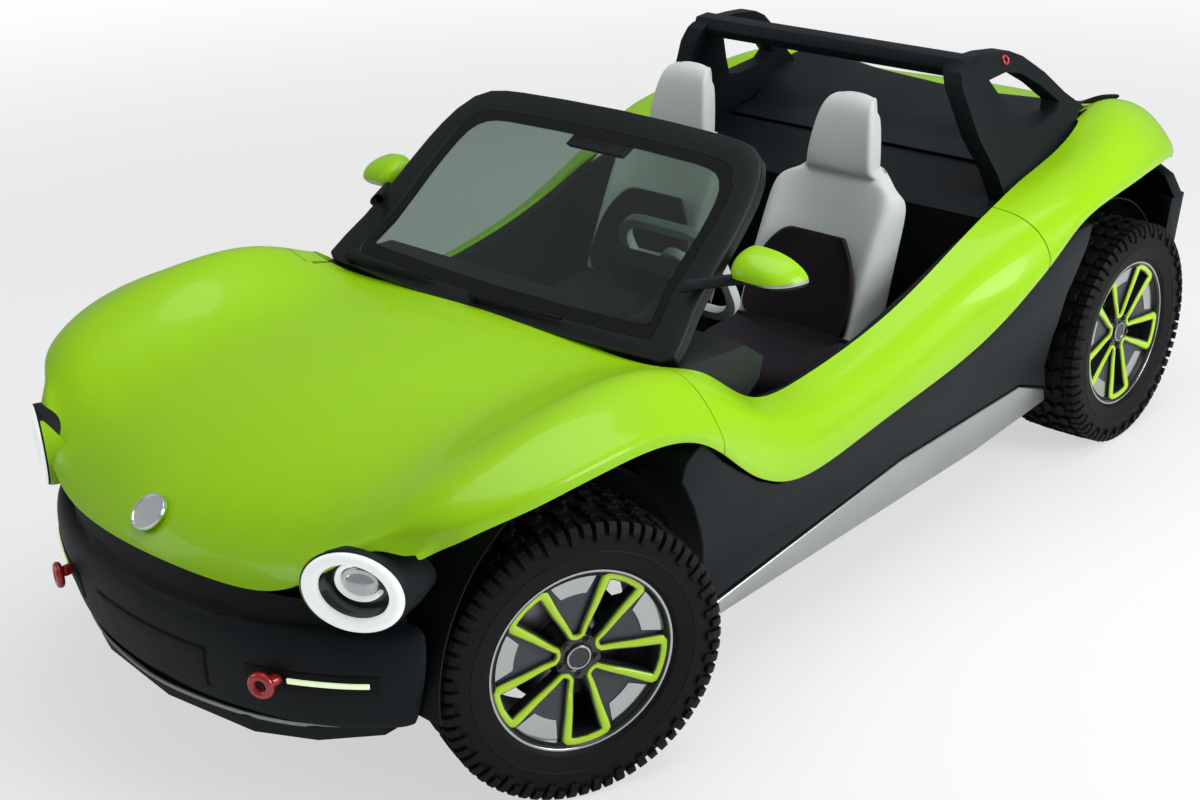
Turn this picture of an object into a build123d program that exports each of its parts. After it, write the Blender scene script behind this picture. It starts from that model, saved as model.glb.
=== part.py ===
from build123d import *
from math import cos, hypot, radians, sin
import os

os.makedirs("parts", exist_ok=True)

# Driving dimensions of the vehicle, in millimetres. Front faces -Y, the car's left side is +X.
WIDTH = 1891.0
HEIGHT = 1400.0
FRONT_OVERHANG = 750.0
WHEELBASE = 2650.0
REAR_OVERHANG = 663.0
GROUND_CLEARANCE = 254.0
TRACK_INSET = 198.5
RIM_FLANGE_DIAMETER = 498.0
SIDEWALL_HEIGHT = 134.0
TYRE_WIDTH = 262.0
KINGPIN_OFFSET = 57.0
STEER_REST_DEG = -22.0
PANEL_WALL = 14.0
SEAT_GAP = 0.3

# Places worked out from the driving dimensions.
LENGTH = FRONT_OVERHANG + WHEELBASE + REAR_OVERHANG
HALF_WIDTH = WIDTH / 2
TYRE_DIAMETER = RIM_FLANGE_DIAMETER + 2 * SIDEWALL_HEIGHT
HALF_TRACK = HALF_WIDTH - TRACK_INSET
KINGPIN_X = HALF_TRACK - KINGPIN_OFFSET
NOSE_Y = -LENGTH / 2
FRONT_AXLE_Y = NOSE_Y + FRONT_OVERHANG
REAR_AXLE_Y = FRONT_AXLE_Y + WHEELBASE
AXLE_Z = TYRE_DIAMETER / 2

# Shares of the length at which the axles stand, and of the height at which they lie.
FRONT_AXLE_SHARE = 0.1846
REAR_AXLE_SHARE = 0.8368
AXLE_LEVEL_SHARE = 0.2736


def at_x(share):
    """Place across the car from a share of the half width."""
    return HALF_WIDTH * share


def at_y(share):
    """Place along the car from a share of the length, stretched with the overhangs and the wheelbase."""
    if share < FRONT_AXLE_SHARE:
        return NOSE_Y + FRONT_OVERHANG * share / FRONT_AXLE_SHARE
    if share < REAR_AXLE_SHARE:
        return FRONT_AXLE_Y + WHEELBASE * (share - FRONT_AXLE_SHARE) / (REAR_AXLE_SHARE - FRONT_AXLE_SHARE)
    return REAR_AXLE_Y + REAR_OVERHANG * (share - REAR_AXLE_SHARE) / (1 - REAR_AXLE_SHARE)


def at_z(share):
    """Place above the ground from a share of the height, stretched above the axles."""
    if share < AXLE_LEVEL_SHARE:
        return AXLE_Z * share / AXLE_LEVEL_SHARE
    return AXLE_Z + (HEIGHT - AXLE_Z) * (share - AXLE_LEVEL_SHARE) / (1 - AXLE_LEVEL_SHARE)


def across(share):
    """Plane square to the length at a share of the length."""
    return Plane.XZ.offset(-at_y(share))


def place(shares, side):
    """Point from shares across, along and above, on one side of the car."""
    return Vector(side * at_x(shares[0]), at_y(shares[1]), at_z(shares[2]))


def mirrored(half):
    """Closed outline from its left half, both ends of which lie off or on the middle plane."""
    other = [(-x, z) for x, z in reversed(half) if x > 0]
    return half + other


def export(piece, name):
    piece.label = name
    export_step(piece, f"parts/{name}.step")


# Front shell: one moulded panel with the hood, its soft valleys and both fender crests.
# Each row: y, middle z, valley x and z, crest x and z, shoulder x and z, lip x, lip bottom z.
FRONT_SHELL_SHARES = (
    (-0.0012, 0.49, 0.455, 0.4671, 0.687, 0.4671, 0.74, 0.4529, 0.762, 0.41),
    (0.0185, 0.5507, 0.455, 0.5257, 0.687, 0.56, 0.772, 0.5386, 0.814, 0.5029),
    (0.0455, 0.59, 0.455, 0.5814, 0.687, 0.6229, 0.804, 0.6064, 0.846, 0.56),
    (0.0825, 0.6229, 0.465, 0.6157, 0.719, 0.6614, 0.846, 0.6471, 0.894, 0.6086),
    (0.1268, 0.6471, 0.476, 0.6386, 0.74, 0.6993, 0.899, 0.6814, 0.965, 0.6429),
    (0.1846, 0.6657, 0.487, 0.6529, 0.767, 0.7329, 0.92, 0.7064, 0.994, 0.6621),
    (0.24, 0.6743, 0.497, 0.6564, 0.788, 0.735, 0.931, 0.7014, 0.998, 0.655),
    (0.2744, 0.6743, 0.508, 0.6564, 0.795, 0.7171, 0.931, 0.6707, 0.989, 0.6136),
    (0.3163, 0.6707, 0.518, 0.6543, 0.809, 0.6636, 0.91, 0.61, 0.968, 0.51),
)
# Plan outline of the shell from the middle of the nose to the middle of the cowl.
FRONT_PLAN_SHARES = (
    (0, 0), (0.264, 0.0062), (0.455, 0.0222), (0.561, 0.0357), (0.687, 0.0443),
    (0.804, 0.0652), (0.888, 0.0886), (0.965, 0.126), (0.999, 0.1661), (0.999, 0.2523),
    (0.999, 0.2661), (0.755, 0.2661), (0.752, 0.2892), (0.74, 0.2985), (0.677, 0.299), (0, 0.3101),
)
SHELL_TOP_SHARE = 0.95
SHELL_FOOT_SHARE = 0.3
LAMP_X_SHARE = 0.681
LAMP_Y_SHARE = 0.0384
LAMP_Z_SHARE = 0.5257
LAMP_TOE_DEG = 24.0
LAMP_RING_SHARE = 0.1298
LAMP_CLEARANCE = 0.5
LAMP_DEPTH = 130.0
lamp_ring_r = (HEIGHT - AXLE_Z) * LAMP_RING_SHARE


def shell_outline(row, wall):
    """Outer line over the panel and the same line back underneath it, one wall lower."""
    y, mid_z, valley_x, valley_z, crest_x, crest_z, shoulder_x, shoulder_z, lip_x, lip_z = row
    outer = [
        (0, at_z(mid_z)),
        (at_x(valley_x), at_z(valley_z)),
        (at_x(crest_x), at_z(crest_z)),
        (at_x(shoulder_x), at_z(shoulder_z)),
        (at_x(lip_x), at_z(lip_z) + LIP_HEIGHT),
        (at_x(lip_x), at_z(lip_z)),
    ]
    inner = [
        (at_x(lip_x) - wall, at_z(lip_z)),
        (at_x(lip_x) - wall, at_z(lip_z) + LIP_HEIGHT - wall / 2),
        (at_x(shoulder_x) - wall / 2, at_z(shoulder_z) - wall),
        (at_x(crest_x), at_z(crest_z) - wall),
        (at_x(valley_x), at_z(valley_z) - wall),
        (0, at_z(mid_z) - wall),
    ]
    half = outer + inner
    return half + [(-x, z) for x, z in reversed(inner[:-1])] + [(-x, z) for x, z in reversed(outer[1:])]


LIP_HEIGHT = 40.0

with BuildPart() as front_shell:
    for row in FRONT_SHELL_SHARES:
        with BuildSketch(across(row[0])):
            with BuildLine():
                Polyline(*shell_outline(row, PANEL_WALL), close=True)
            make_face()
    loft(ruled=True)
    with BuildSketch(Plane.XY.offset(at_z(SHELL_FOOT_SHARE))):
        with BuildLine():
            Polyline(*mirrored([(at_x(x), at_y(y)) for x, y in FRONT_PLAN_SHARES]), close=True)
        make_face()
    extrude(amount=at_z(SHELL_TOP_SHARE) - at_z(SHELL_FOOT_SHARE), mode=Mode.INTERSECT)
    for side in (1, -1):
        lamp = Plane(
            origin=(side * at_x(LAMP_X_SHARE), at_y(LAMP_Y_SHARE), at_z(LAMP_Z_SHARE)),
            x_dir=(0, 0, 1),
            z_dir=(side * sin(radians(LAMP_TOE_DEG)), -cos(radians(LAMP_TOE_DEG)), 0),
        )
        with BuildSketch(lamp.offset(-LAMP_DEPTH - LAMP_CLEARANCE)):
            Circle(lamp_ring_r + LAMP_CLEARANCE)
        extrude(amount=LAMP_DEPTH * 3, mode=Mode.SUBTRACT)
export(front_shell.part, "front_shell")

# Side shells: the low door bands between the fenders, open to the cabin above.
# Each row: y, inner edge x and z, top x and z, outer x and z, bottom x and z.
SIDE_SHELL_SHARES = (
    (0.267, 0.759, 0.7114, 0.804, 0.7207, 0.99, 0.6564, 0.99, 0.6257),
    (0.2892, 0.757, 0.6743, 0.809, 0.685, 0.975, 0.6029, 0.973, 0.5493),
    (0.3261, 0.77, 0.63, 0.836, 0.6314, 0.954, 0.5314, 0.955, 0.4707),
    (0.363, 0.768, 0.5564, 0.846, 0.5614, 0.941, 0.4743, 0.936, 0.4114),
    (0.4123, 0.768, 0.5443, 0.857, 0.5457, 0.943, 0.4671, 0.93, 0.4043),
    (0.4918, 0.77, 0.5707, 0.862, 0.5707, 0.948, 0.485, 0.933, 0.4343),
    (0.5599, 0.77, 0.6207, 0.867, 0.6221, 0.957, 0.5207, 0.941, 0.46),
    (0.617, 0.768, 0.6707, 0.873, 0.6721, 0.978, 0.5743, 0.973, 0.5257),
    (0.6633, 0.764, 0.6993, 0.862, 0.7171, 0.995, 0.6386, 0.992, 0.6086),
)


def band_outline(row, wall, side):
    """Outer line down the band and back up on its inner face."""
    y, inner_x, inner_z, top_x, top_z, outer_x, outer_z, foot_x, foot_z = row
    points = [
        (at_x(inner_x), at_z(inner_z)),
        (at_x(top_x), at_z(top_z)),
        (at_x(outer_x), at_z(outer_z)),
        (at_x(foot_x), at_z(foot_z)),
        (at_x(foot_x) - wall, at_z(foot_z)),
        (at_x(outer_x) - wall * 1.2, at_z(outer_z) - wall / 2),
        (at_x(top_x) - wall / 2, at_z(top_z) - wall),
        (at_x(inner_x), at_z(inner_z) - wall),
    ]
    return [(side * x, z) for x, z in points]


with BuildPart() as side_shells:
    for side in (1, -1):
        with BuildPart(mode=Mode.PRIVATE) as one_side:
            for row in SIDE_SHELL_SHARES:
                with BuildSketch(across(row[0])):
                    with BuildLine():
                        Polyline(*band_outline(row, PANEL_WALL, side), close=True)
                    make_face()
            loft(ruled=True)
        add(one_side.part)
export(side_shells.part, "side_shells")

# Rear shell: both rear fenders and the tail deck behind the roll bar, in one moulding.
REAR_SHELL_SHARES = (
    (0.6643, 0.6779, 0.635, 0.6707, 0.862, 0.7171, 0.931, 0.6921, 0.995, 0.5986),
    (0.7199, 0.7029, 0.635, 0.6957, 0.836, 0.7564, 0.936, 0.735, 0.999, 0.6779),
    (0.7814, 0.7136, 0.624, 0.7171, 0.804, 0.7886, 0.922, 0.7636, 0.99, 0.6921),
    (0.8368, 0.7279, 0.529, 0.7443, 0.709, 0.8286, 0.883, 0.7829, 0.955, 0.6929),
    (0.8799, 0.7279, 0.497, 0.7443, 0.677, 0.8114, 0.836, 0.7657, 0.918, 0.6829),
    (0.9323, 0.7207, 0.476, 0.7257, 0.647, 0.7614, 0.767, 0.7186, 0.829, 0.6414),
    (0.9729, 0.7114, 0.455, 0.7014, 0.619, 0.6993, 0.693, 0.6586, 0.742, 0.6014),
    (1, 0.6921, 0.423, 0.6707, 0.529, 0.6529, 0.582, 0.6207, 0.624, 0.5743),
)
REAR_PLAN_SHARES = (
    (0.74, 0.6643), (0.999, 0.6643), (0.999, 0.7691), (0.99, 0.7937), (0.955, 0.8368), (0.918, 0.8774),
    (0.888, 0.9025), (0.829, 0.9323), (0.785, 0.9537), (0.73, 0.9746), (0.645, 0.9894), (0.423, 0.9975),
    (0, 1),
)
DECK_FRONT_Y_SHARE = 0.8282

with BuildPart() as rear_shell:
    for row in REAR_SHELL_SHARES:
        with BuildSketch(across(row[0])):
            with BuildLine():
                Polyline(*shell_outline(row, PANEL_WALL), close=True)
            make_face()
    loft(ruled=True)
    with BuildSketch(Plane.XY.offset(at_z(SHELL_FOOT_SHARE))):
        left = [(at_x(x), at_y(y)) for x, y in REAR_PLAN_SHARES]
        notch = (left[0][0], at_y(DECK_FRONT_Y_SHARE))
        right = [(-x, y) for x, y in reversed(left[:-1])]
        with BuildLine():
            Polyline(notch, *left, *right, (-notch[0], notch[1]), close=True)
        make_face()
    extrude(amount=at_z(SHELL_TOP_SHARE) - at_z(SHELL_FOOT_SHARE), mode=Mode.INTERSECT)
export(rear_shell.part, "rear_shell")

# Cabin tub: floor, firewall, side walls and rear bulkhead, open at the top.
SILL_DEPTH = 203.5
TUB_WALL = 24.0
TUB_FLOOR_Z_SHARE = 0.2243
TUB_FRONT_SHARE = 0.3015
FIREWALL_Z_SHARE = 0.6507
BAND_ROWS_ON_TUB = SIDE_SHELL_SHARES[2:]
TUB_REAR_SHARE = BAND_ROWS_ON_TUB[-1][0]
sill_line = [(at_y(row[0]), at_z(row[2]) - PANEL_WALL - SEAT_GAP) for row in BAND_ROWS_ON_TUB]
tub_half = HALF_WIDTH - SILL_DEPTH
tub_front = at_y(TUB_FRONT_SHARE)
tub_rear = at_y(TUB_REAR_SHARE)
tub_bottom = at_z(TUB_FLOOR_Z_SHARE)
tub_side = [
    (tub_front, tub_bottom), (tub_front, at_z(FIREWALL_Z_SHARE)), *sill_line, (tub_rear, tub_bottom),
]

with BuildPart() as cabin_tub:
    with BuildSketch(Plane.YZ.offset(-tub_half)):
        with BuildLine():
            Polyline(*tub_side, close=True)
        make_face()
    extrude(amount=tub_half * 2)
    inner_front = tub_front + TUB_WALL
    inner_rear = tub_rear - TUB_WALL
    with BuildSketch(Plane.XY.offset(at_z(TUB_FLOOR_Z_SHARE) + TUB_WALL)):
        with Locations((0, (inner_front + inner_rear) / 2)):
            Rectangle(2 * (tub_half - TUB_WALL), inner_rear - inner_front)
    extrude(amount=HEIGHT, mode=Mode.SUBTRACT)
    add(front_shell.part, mode=Mode.SUBTRACT)
    add(side_shells.part, mode=Mode.SUBTRACT)
export(cabin_tub.part, "cabin_tub")

# Battery: the flat pack under the floor, one plain block.
BATTERY_SIDE_ROOM = 102.0
BATTERY_FRONT_SHARE = 0.3138
BATTERY_REAR_SHARE = 0.7273
BATTERY_CHAMFER = 18.0
battery_top = at_z(TUB_FLOOR_Z_SHARE) - SEAT_GAP
battery_half = tub_half - BATTERY_SIDE_ROOM
battery_front = at_y(BATTERY_FRONT_SHARE)
battery_rear = at_y(BATTERY_REAR_SHARE)

with BuildPart() as battery:
    with BuildSketch(Plane.XY.offset(GROUND_CLEARANCE)):
        with Locations((0, (battery_front + battery_rear) / 2)):
            Rectangle(2 * battery_half, battery_rear - battery_front)
    extrude(amount=battery_top - GROUND_CLEARANCE)
    chamfer(battery.edges().filter_by(Axis.Z), BATTERY_CHAMFER)
export(battery.part, "battery")

# Lower side panels: the dark flanks between the green band, the rockers and both wheel arches.
FLANK_SHARES = (
    (0.2646, 0.6086), (0.2498, 0.5814), (0.2474, 0.5471), (0.2663, 0.4629), (0.2853, 0.3571),
    (0.2976, 0.2671), (0.3015, 0.2029), (0.5245, 0.2671), (0.6894, 0.2729), (0.7298, 0.23), (0.7337, 0.2243),
    (0.7179, 0.3779), (0.7187, 0.4886), (0.7334, 0.5814), (0.7396, 0.6386), (0.7138, 0.6421),
    (0.6781, 0.61), (0.6436, 0.5671), (0.617, 0.5136), (0.5882, 0.4707), (0.5449, 0.445), (0.4918, 0.43),
    (0.4123, 0.4007), (0.3783, 0.4014), (0.3564, 0.4121), (0.3315, 0.4493), (0.2887, 0.5421),
)
FLANK_SECTION_SHARES = (
    (0.846, 0.1957), (0.852, 0.2814), (0.912, 0.4029), (0.947, 0.51), (0.965, 0.5957), (0.968, 0.6529),
)
FLANK_TOP_SHARE = 0.6529
flank_inner = tub_half + SEAT_GAP
flank_section = [(at_x(x), at_z(z)) for x, z in FLANK_SECTION_SHARES]
flank_section += [(flank_inner, at_z(FLANK_TOP_SHARE)), (flank_inner, GROUND_CLEARANCE)]

with BuildPart() as flanks:
    for side in (1, -1):
        with BuildPart(mode=Mode.PRIVATE) as one_flank:
            with BuildSketch(Plane.YZ.offset(side * flank_inner)):
                with BuildLine():
                    Polyline(*[(at_y(y), at_z(z)) for y, z in FLANK_SHARES], close=True)
                make_face()
            extrude(amount=side * (HALF_WIDTH - flank_inner))
            with BuildSketch(across(0)):
                with BuildLine():
                    Polyline(*[(side * x, z) for x, z in flank_section], close=True)
                make_face()
            extrude(amount=-LENGTH, mode=Mode.INTERSECT)
        add(one_flank.part)
export(flanks.part, "flanks")

# Rockers: the bright spear-shaped sills under the flanks.
ROCKER_SHARES = (
    (0.302, 0.1971), (0.3062, 0.1671), (0.6222, 0.1729), (0.7312, 0.1921), (0.7288, 0.2243),
    (0.6894, 0.2686), (0.5245, 0.2629),
)
ROCKER_INSET = 139.5
rocker_out = HALF_WIDTH - ROCKER_INSET

with BuildPart() as rockers:
    for side in (1, -1):
        with BuildSketch(Plane.YZ.offset(side * flank_inner)):
            with BuildLine():
                Polyline(*[(at_y(y), at_z(z)) for y, z in ROCKER_SHARES], close=True)
            make_face()
        extrude(amount=side * (rocker_out - flank_inner))
export(rockers.part, "rockers")

# Front mask: the dark panel between the hood lip and the bumper, carrying both lamps.
MASK_PLAN_SHARES = (
    (0, 0.0074), (0.264, 0.013), (0.455, 0.0295), (0.592, 0.0554), (0.677, 0.0701),
)
MASK_DEPTH = 30.0
MASK_FOOT_SHARE = 0.4207
MASK_TOP_SHARE = 0.51


def strip_outline(shares, depth):
    """Closed plan strip: an outer line across the nose and the same line set back by a depth."""
    left = [(at_x(x), at_y(y)) for x, y in shares]
    front = [(-x, y) for x, y in reversed(left[1:])] + left
    return front + [(x, y + depth) for x, y in reversed(front)]


def lamp_plane(side):
    """Plane at the middle of a headlamp, facing out along its axis."""
    toe = radians(LAMP_TOE_DEG)
    centre = (side * at_x(LAMP_X_SHARE), at_y(LAMP_Y_SHARE), at_z(LAMP_Z_SHARE))
    return Plane(origin=centre, x_dir=(0, 0, 1), z_dir=(side * sin(toe), -cos(toe), 0))


with BuildPart() as front_mask:
    with BuildSketch(Plane.XY.offset(at_z(MASK_FOOT_SHARE))):
        with BuildLine():
            Polyline(*strip_outline(MASK_PLAN_SHARES, MASK_DEPTH), close=True)
        make_face()
    extrude(amount=at_z(MASK_TOP_SHARE) - at_z(MASK_FOOT_SHARE))
    for side in (1, -1):
        with BuildSketch(lamp_plane(side).offset(-LAMP_DEPTH - LAMP_CLEARANCE)):
            Circle(lamp_ring_r + LAMP_CLEARANCE)
        extrude(amount=LAMP_DEPTH * 3, mode=Mode.SUBTRACT)
    add(front_shell.part, mode=Mode.SUBTRACT)
export(front_mask.part, "front_mask")

# Headlamps: conical housings, thick light rings and flat lenses, toed outwards.
LAMP_RING_WIDTH = 38.0
LAMP_RING_DEPTH = 34.0
LAMP_BACK_R = 84.0
LENS_THICKNESS = 6.0

with BuildPart() as lamp_housings:
    for side in (1, -1):
        face = lamp_plane(side).offset(-LAMP_RING_DEPTH)
        with BuildSketch(face):
            Circle(lamp_ring_r)
        with BuildSketch(face.offset(LAMP_RING_DEPTH - LAMP_DEPTH)):
            Circle(LAMP_BACK_R)
        loft(ruled=True)
export(lamp_housings.part, "lamp_housings")

with BuildPart() as lamp_rings:
    for side in (1, -1):
        with BuildSketch(lamp_plane(side).offset(SEAT_GAP - LAMP_RING_DEPTH)):
            Circle(lamp_ring_r)
            Circle(lamp_ring_r - LAMP_RING_WIDTH, mode=Mode.SUBTRACT)
        extrude(amount=LAMP_RING_DEPTH - SEAT_GAP)
export(lamp_rings.part, "lamp_rings")

with BuildPart() as lamp_lenses:
    for side in (1, -1):
        with BuildSketch(lamp_plane(side).offset(SEAT_GAP - LAMP_RING_DEPTH)):
            Circle(lamp_ring_r - LAMP_RING_WIDTH - SEAT_GAP)
        extrude(amount=LENS_THICKNESS)
export(lamp_lenses.part, "lamp_lenses")

# Front bumper: a dark moulded beam whose corners rise towards the wheels.
# Each level: height, then the plan places of its front line.
BUMPER_LEVEL_SHARES = (
    (0.2243, ((0, 0.0074), (0.317, 0.016), (0.529, 0.0357), (0.635, 0.0554), (0.693, 0.0738))),
    (0.2957, ((0, 0.0007), (0.317, 0.0098), (0.539, 0.0295), (0.677, 0.0505), (0.762, 0.0726))),
    (0.3671, ((0, 0), (0.317, 0.0081), (0.539, 0.0271), (0.698, 0.048), (0.809, 0.0738))),
    (0.4171, ((0, 0.0049), (0.317, 0.0135), (0.529, 0.0332), (0.677, 0.0529), (0.804, 0.0775))),
)
BUMPER_DEPTH = 90.0
WHEEL_CLEARANCE = 12.0
liner_rOOM = 61.0
LINER_INSET = 311.0
liner_in = HALF_TRACK - LINER_INSET
liner_r = TYRE_DIAMETER / 2 + liner_rOOM
steer_sweep_r = hypot(TYRE_DIAMETER / 2, HALF_TRACK + TYRE_WIDTH / 2 - KINGPIN_X) + WHEEL_CLEARANCE


def cut_front_sweeps():
    """Take the volumes that the steered front wheels sweep out of the piece in hand."""
    for side in (1, -1):
        with Locations((side * KINGPIN_X, FRONT_AXLE_Y, HEIGHT / 2)):
            Cylinder(steer_sweep_r, HEIGHT, mode=Mode.SUBTRACT)


def cut_liner(axle_y):
    """Take the space inside one axle's wheel liners out of the piece in hand."""
    for side in (1, -1):
        with Locations(Plane((side * (liner_in + HALF_WIDTH / 2), axle_y, AXLE_Z), z_dir=(1, 0, 0))):
            Cylinder(liner_r + SEAT_GAP, HALF_WIDTH, mode=Mode.SUBTRACT)


with BuildPart() as front_bumper:
    for level, plan in BUMPER_LEVEL_SHARES:
        with BuildSketch(Plane.XY.offset(at_z(level))):
            with BuildLine():
                Polyline(*strip_outline(plan, BUMPER_DEPTH), close=True)
            make_face()
    loft(ruled=True)
    cut_front_sweeps()
    cut_liner(FRONT_AXLE_Y)
export(front_bumper.part, "front_bumper")

# Front skid plate: the bright lip under the bumper.
SKID_LEVEL_SHARES = (
    (0.1829, ((0, 0.0135), (0.317, 0.0222), (0.476, 0.0406), (0.592, 0.0701))),
    (0.2243, ((0, 0.0086), (0.317, 0.0175), (0.497, 0.0357), (0.624, 0.0603))),
)
SKID_DEPTH = 260.0

with BuildPart() as front_skid:
    for level, plan in SKID_LEVEL_SHARES:
        with BuildSketch(Plane.XY.offset(at_z(level) - SEAT_GAP)):
            with BuildLine():
                Polyline(*strip_outline(plan, SKID_DEPTH), close=True)
            make_face()
    loft(ruled=True)
    cut_front_sweeps()
    cut_liner(FRONT_AXLE_Y)
export(front_skid.part, "front_skid")

# Tow eyes: two forged eyes with round bores, standing out of the bumper.
EYE_X_SHARE = 0.462
EYE_Y_SHARE = 0.0111
EYE_Z_SHARE = 0.3407
EYE_BORE_R = 17.0
EYE_RIM_R = 31.0
EYE_BORE_DEPTH = 24.0
EYE_LENGTH = 75.0

# Subframes: box rails that carry the arms, bumpers, motor and battery.
RAIL_X_SHARE = 0.391
RAIL_WIDTH = 60.0
RAIL_HEIGHT = 90.0
RAIL_Z_SHARE = 0.2564
FRONT_RAIL_SHARES = (0.0332, 0.3015)
REAR_RAIL_SHARES = (0.6633, 0.9636)
CROSS_WIDTH = 70.0
rail_z = at_z(RAIL_Z_SHARE)


def rail_pair(front, rear, crosses):
    """Two rails along the car with crossmembers between them."""
    rail_x = at_x(RAIL_X_SHARE)
    for x in (rail_x, -rail_x):
        with Locations((x, (front + rear) / 2, rail_z)):
            Box(RAIL_WIDTH, rear - front, RAIL_HEIGHT)
    for y in crosses:
        with Locations((0, y, rail_z)):
            Box(2 * rail_x, CROSS_WIDTH, RAIL_HEIGHT)


front_rail_start = at_y(FRONT_RAIL_SHARES[0])
front_rail_end = tub_front - SEAT_GAP
rear_rail_start = tub_rear + SEAT_GAP
rear_rail_end = at_y(REAR_RAIL_SHARES[1])
front_crosses = (front_rail_start + CROSS_WIDTH, FRONT_AXLE_Y, front_rail_end - CROSS_WIDTH)
rear_crosses = (rear_rail_start + CROSS_WIDTH, REAR_AXLE_Y + CROSS_WIDTH * 3, rear_rail_end - CROSS_WIDTH)

# Spring towers: a post on each rail with a seat plate over the damper.
DAMPER_X = 500.0
DAMPER_R = 26.0
SPRING_R = 44.0
SPRING_LENGTH = 314.0
TOWER_Z_SHARE = 0.6014
TOWER_WALL = 14.0
TOWER_HALF = 66.0
REAR_DAMPER_SET_Y = 84.0


def spring_towers(axle_y, damper_y):
    """Posts and seat plates of one axle's dampers."""
    rail_x = at_x(RAIL_X_SHARE)
    post_top = at_z(TOWER_Z_SHARE) + TOWER_WALL
    plate_in = rail_x - RAIL_WIDTH / 2
    plate_out = DAMPER_X + SPRING_R + TOWER_WALL
    for side in (1, -1):
        with Locations((side * rail_x, axle_y + damper_y, (rail_z + post_top) / 2)):
            Box(RAIL_WIDTH / 2, 2 * TOWER_HALF, post_top - rail_z)
        with Locations((side * (plate_in + plate_out) / 2, axle_y + damper_y, post_top - TOWER_WALL / 2)):
            Box(plate_out - plate_in, 2 * TOWER_HALF, TOWER_WALL)


with BuildPart() as front_subframe:
    rail_pair(front_rail_start, front_rail_end, front_crosses)
    spring_towers(FRONT_AXLE_Y, 0)
    add(front_bumper.part, mode=Mode.SUBTRACT)
    add(front_skid.part, mode=Mode.SUBTRACT)
export(front_subframe.part, "front_subframe")

with BuildPart() as tow_eyes:
    for side in (1, -1):
        mouth = Plane(place((EYE_X_SHARE, EYE_Y_SHARE, EYE_Z_SHARE), side), z_dir=(0, -1, 0))
        with BuildSketch(mouth):
            Circle(EYE_RIM_R)
        extrude(amount=-EYE_LENGTH)
        with BuildSketch(mouth):
            Circle(EYE_BORE_R)
        extrude(amount=-EYE_BORE_DEPTH, mode=Mode.SUBTRACT)
    add(front_bumper.part, mode=Mode.SUBTRACT)
export(tow_eyes.part, "tow_eyes")

# Rear bumper: the dark beam under the tail between the wheels.
REAR_BUMPER_LEVEL_SHARES = (
    (0.2243, ((0, 0.9685), (0.37, 0.966), (0.592, 0.9513), (0.677, 0.939))),
    (0.3814, ((0, 0.9919), (0.402, 0.9882), (0.687, 0.9685), (0.836, 0.9463))),
    (0.535, ((0, 0.9956), (0.423, 0.9906), (0.635, 0.9796), (0.846, 0.9537))),
)

with BuildPart() as rear_bumper:
    for level, plan in REAR_BUMPER_LEVEL_SHARES:
        with BuildSketch(Plane.XY.offset(at_z(level))):
            with BuildLine():
                Polyline(*strip_outline(plan, -BUMPER_DEPTH), close=True)
            make_face()
    loft(ruled=True)
    cut_liner(REAR_AXLE_Y)
export(rear_bumper.part, "rear_bumper")

# Rear subframe: the same box rails behind the cabin, with the rear spring towers.
with BuildPart() as rear_subframe:
    rail_pair(rear_rail_start, rear_rail_end, rear_crosses)
    spring_towers(REAR_AXLE_Y, REAR_DAMPER_SET_Y)
    add(battery.part, mode=Mode.SUBTRACT)
    add(rear_bumper.part, mode=Mode.SUBTRACT)
export(rear_subframe.part, "rear_subframe")

# Drive motor: the heavy mass between the rear wheels, one plain block with round ends.
MOTOR_R = 150.0
MOTOR_LENGTH = 520.0
MOTOR_Z_SHARE = 0.3171

with BuildPart() as drive_motor:
    with Locations(Plane((0, REAR_AXLE_Y, at_z(MOTOR_Z_SHARE)), z_dir=(1, 0, 0))):
        Cylinder(MOTOR_R, MOTOR_LENGTH)
    add(rear_subframe.part, mode=Mode.SUBTRACT)
export(drive_motor.part, "drive_motor")

# Tail lamps: dark pieces between the fender tips and the rear bumper.
TAIL_LAMP_LEVEL_SHARES = (
    (0.535, ((0.455, 0.9894), (0.677, 0.9746), (0.846, 0.95))),
    (0.5921, ((0.455, 0.9919), (0.677, 0.971), (0.825, 0.9402))),
)
TAIL_LAMP_DEPTH = 60.0

with BuildPart() as tail_lamps:
    for side in (1, -1):
        with BuildPart(mode=Mode.PRIVATE) as one_lamp:
            for level, plan in TAIL_LAMP_LEVEL_SHARES:
                front = [(side * at_x(x), at_y(y)) for x, y in plan]
                with BuildSketch(Plane.XY.offset(at_z(level) + SEAT_GAP)):
                    with BuildLine():
                        Polyline(*front, *[(x, y - TAIL_LAMP_DEPTH) for x, y in reversed(front)], close=True)
                    make_face()
            loft(ruled=True)
        add(one_lamp.part)
    add(rear_shell.part, mode=Mode.SUBTRACT)
export(tail_lamps.part, "tail_lamps")

# Rear panel: the dark strip between the tail lamps, under the tail's lip.
REAR_PANEL_SHARES = ((0, 0.9936), (0.212, 0.9926), (0.455, 0.9877))
REAR_PANEL_WALL = 24.0
REAR_PANEL_TOP_SHARE = 0.6229
panel_foot = at_z(REAR_BUMPER_LEVEL_SHARES[-1][0]) + SEAT_GAP

with BuildPart() as rear_panel:
    with BuildSketch(Plane.XY.offset(panel_foot)):
        with BuildLine():
            Polyline(*strip_outline(REAR_PANEL_SHARES, -REAR_PANEL_WALL), close=True)
        make_face()
    extrude(amount=at_z(REAR_PANEL_TOP_SHARE) - panel_foot)
    add(rear_shell.part, mode=Mode.SUBTRACT)
    add(tail_lamps.part, mode=Mode.SUBTRACT)
export(rear_panel.part, "rear_panel")

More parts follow.
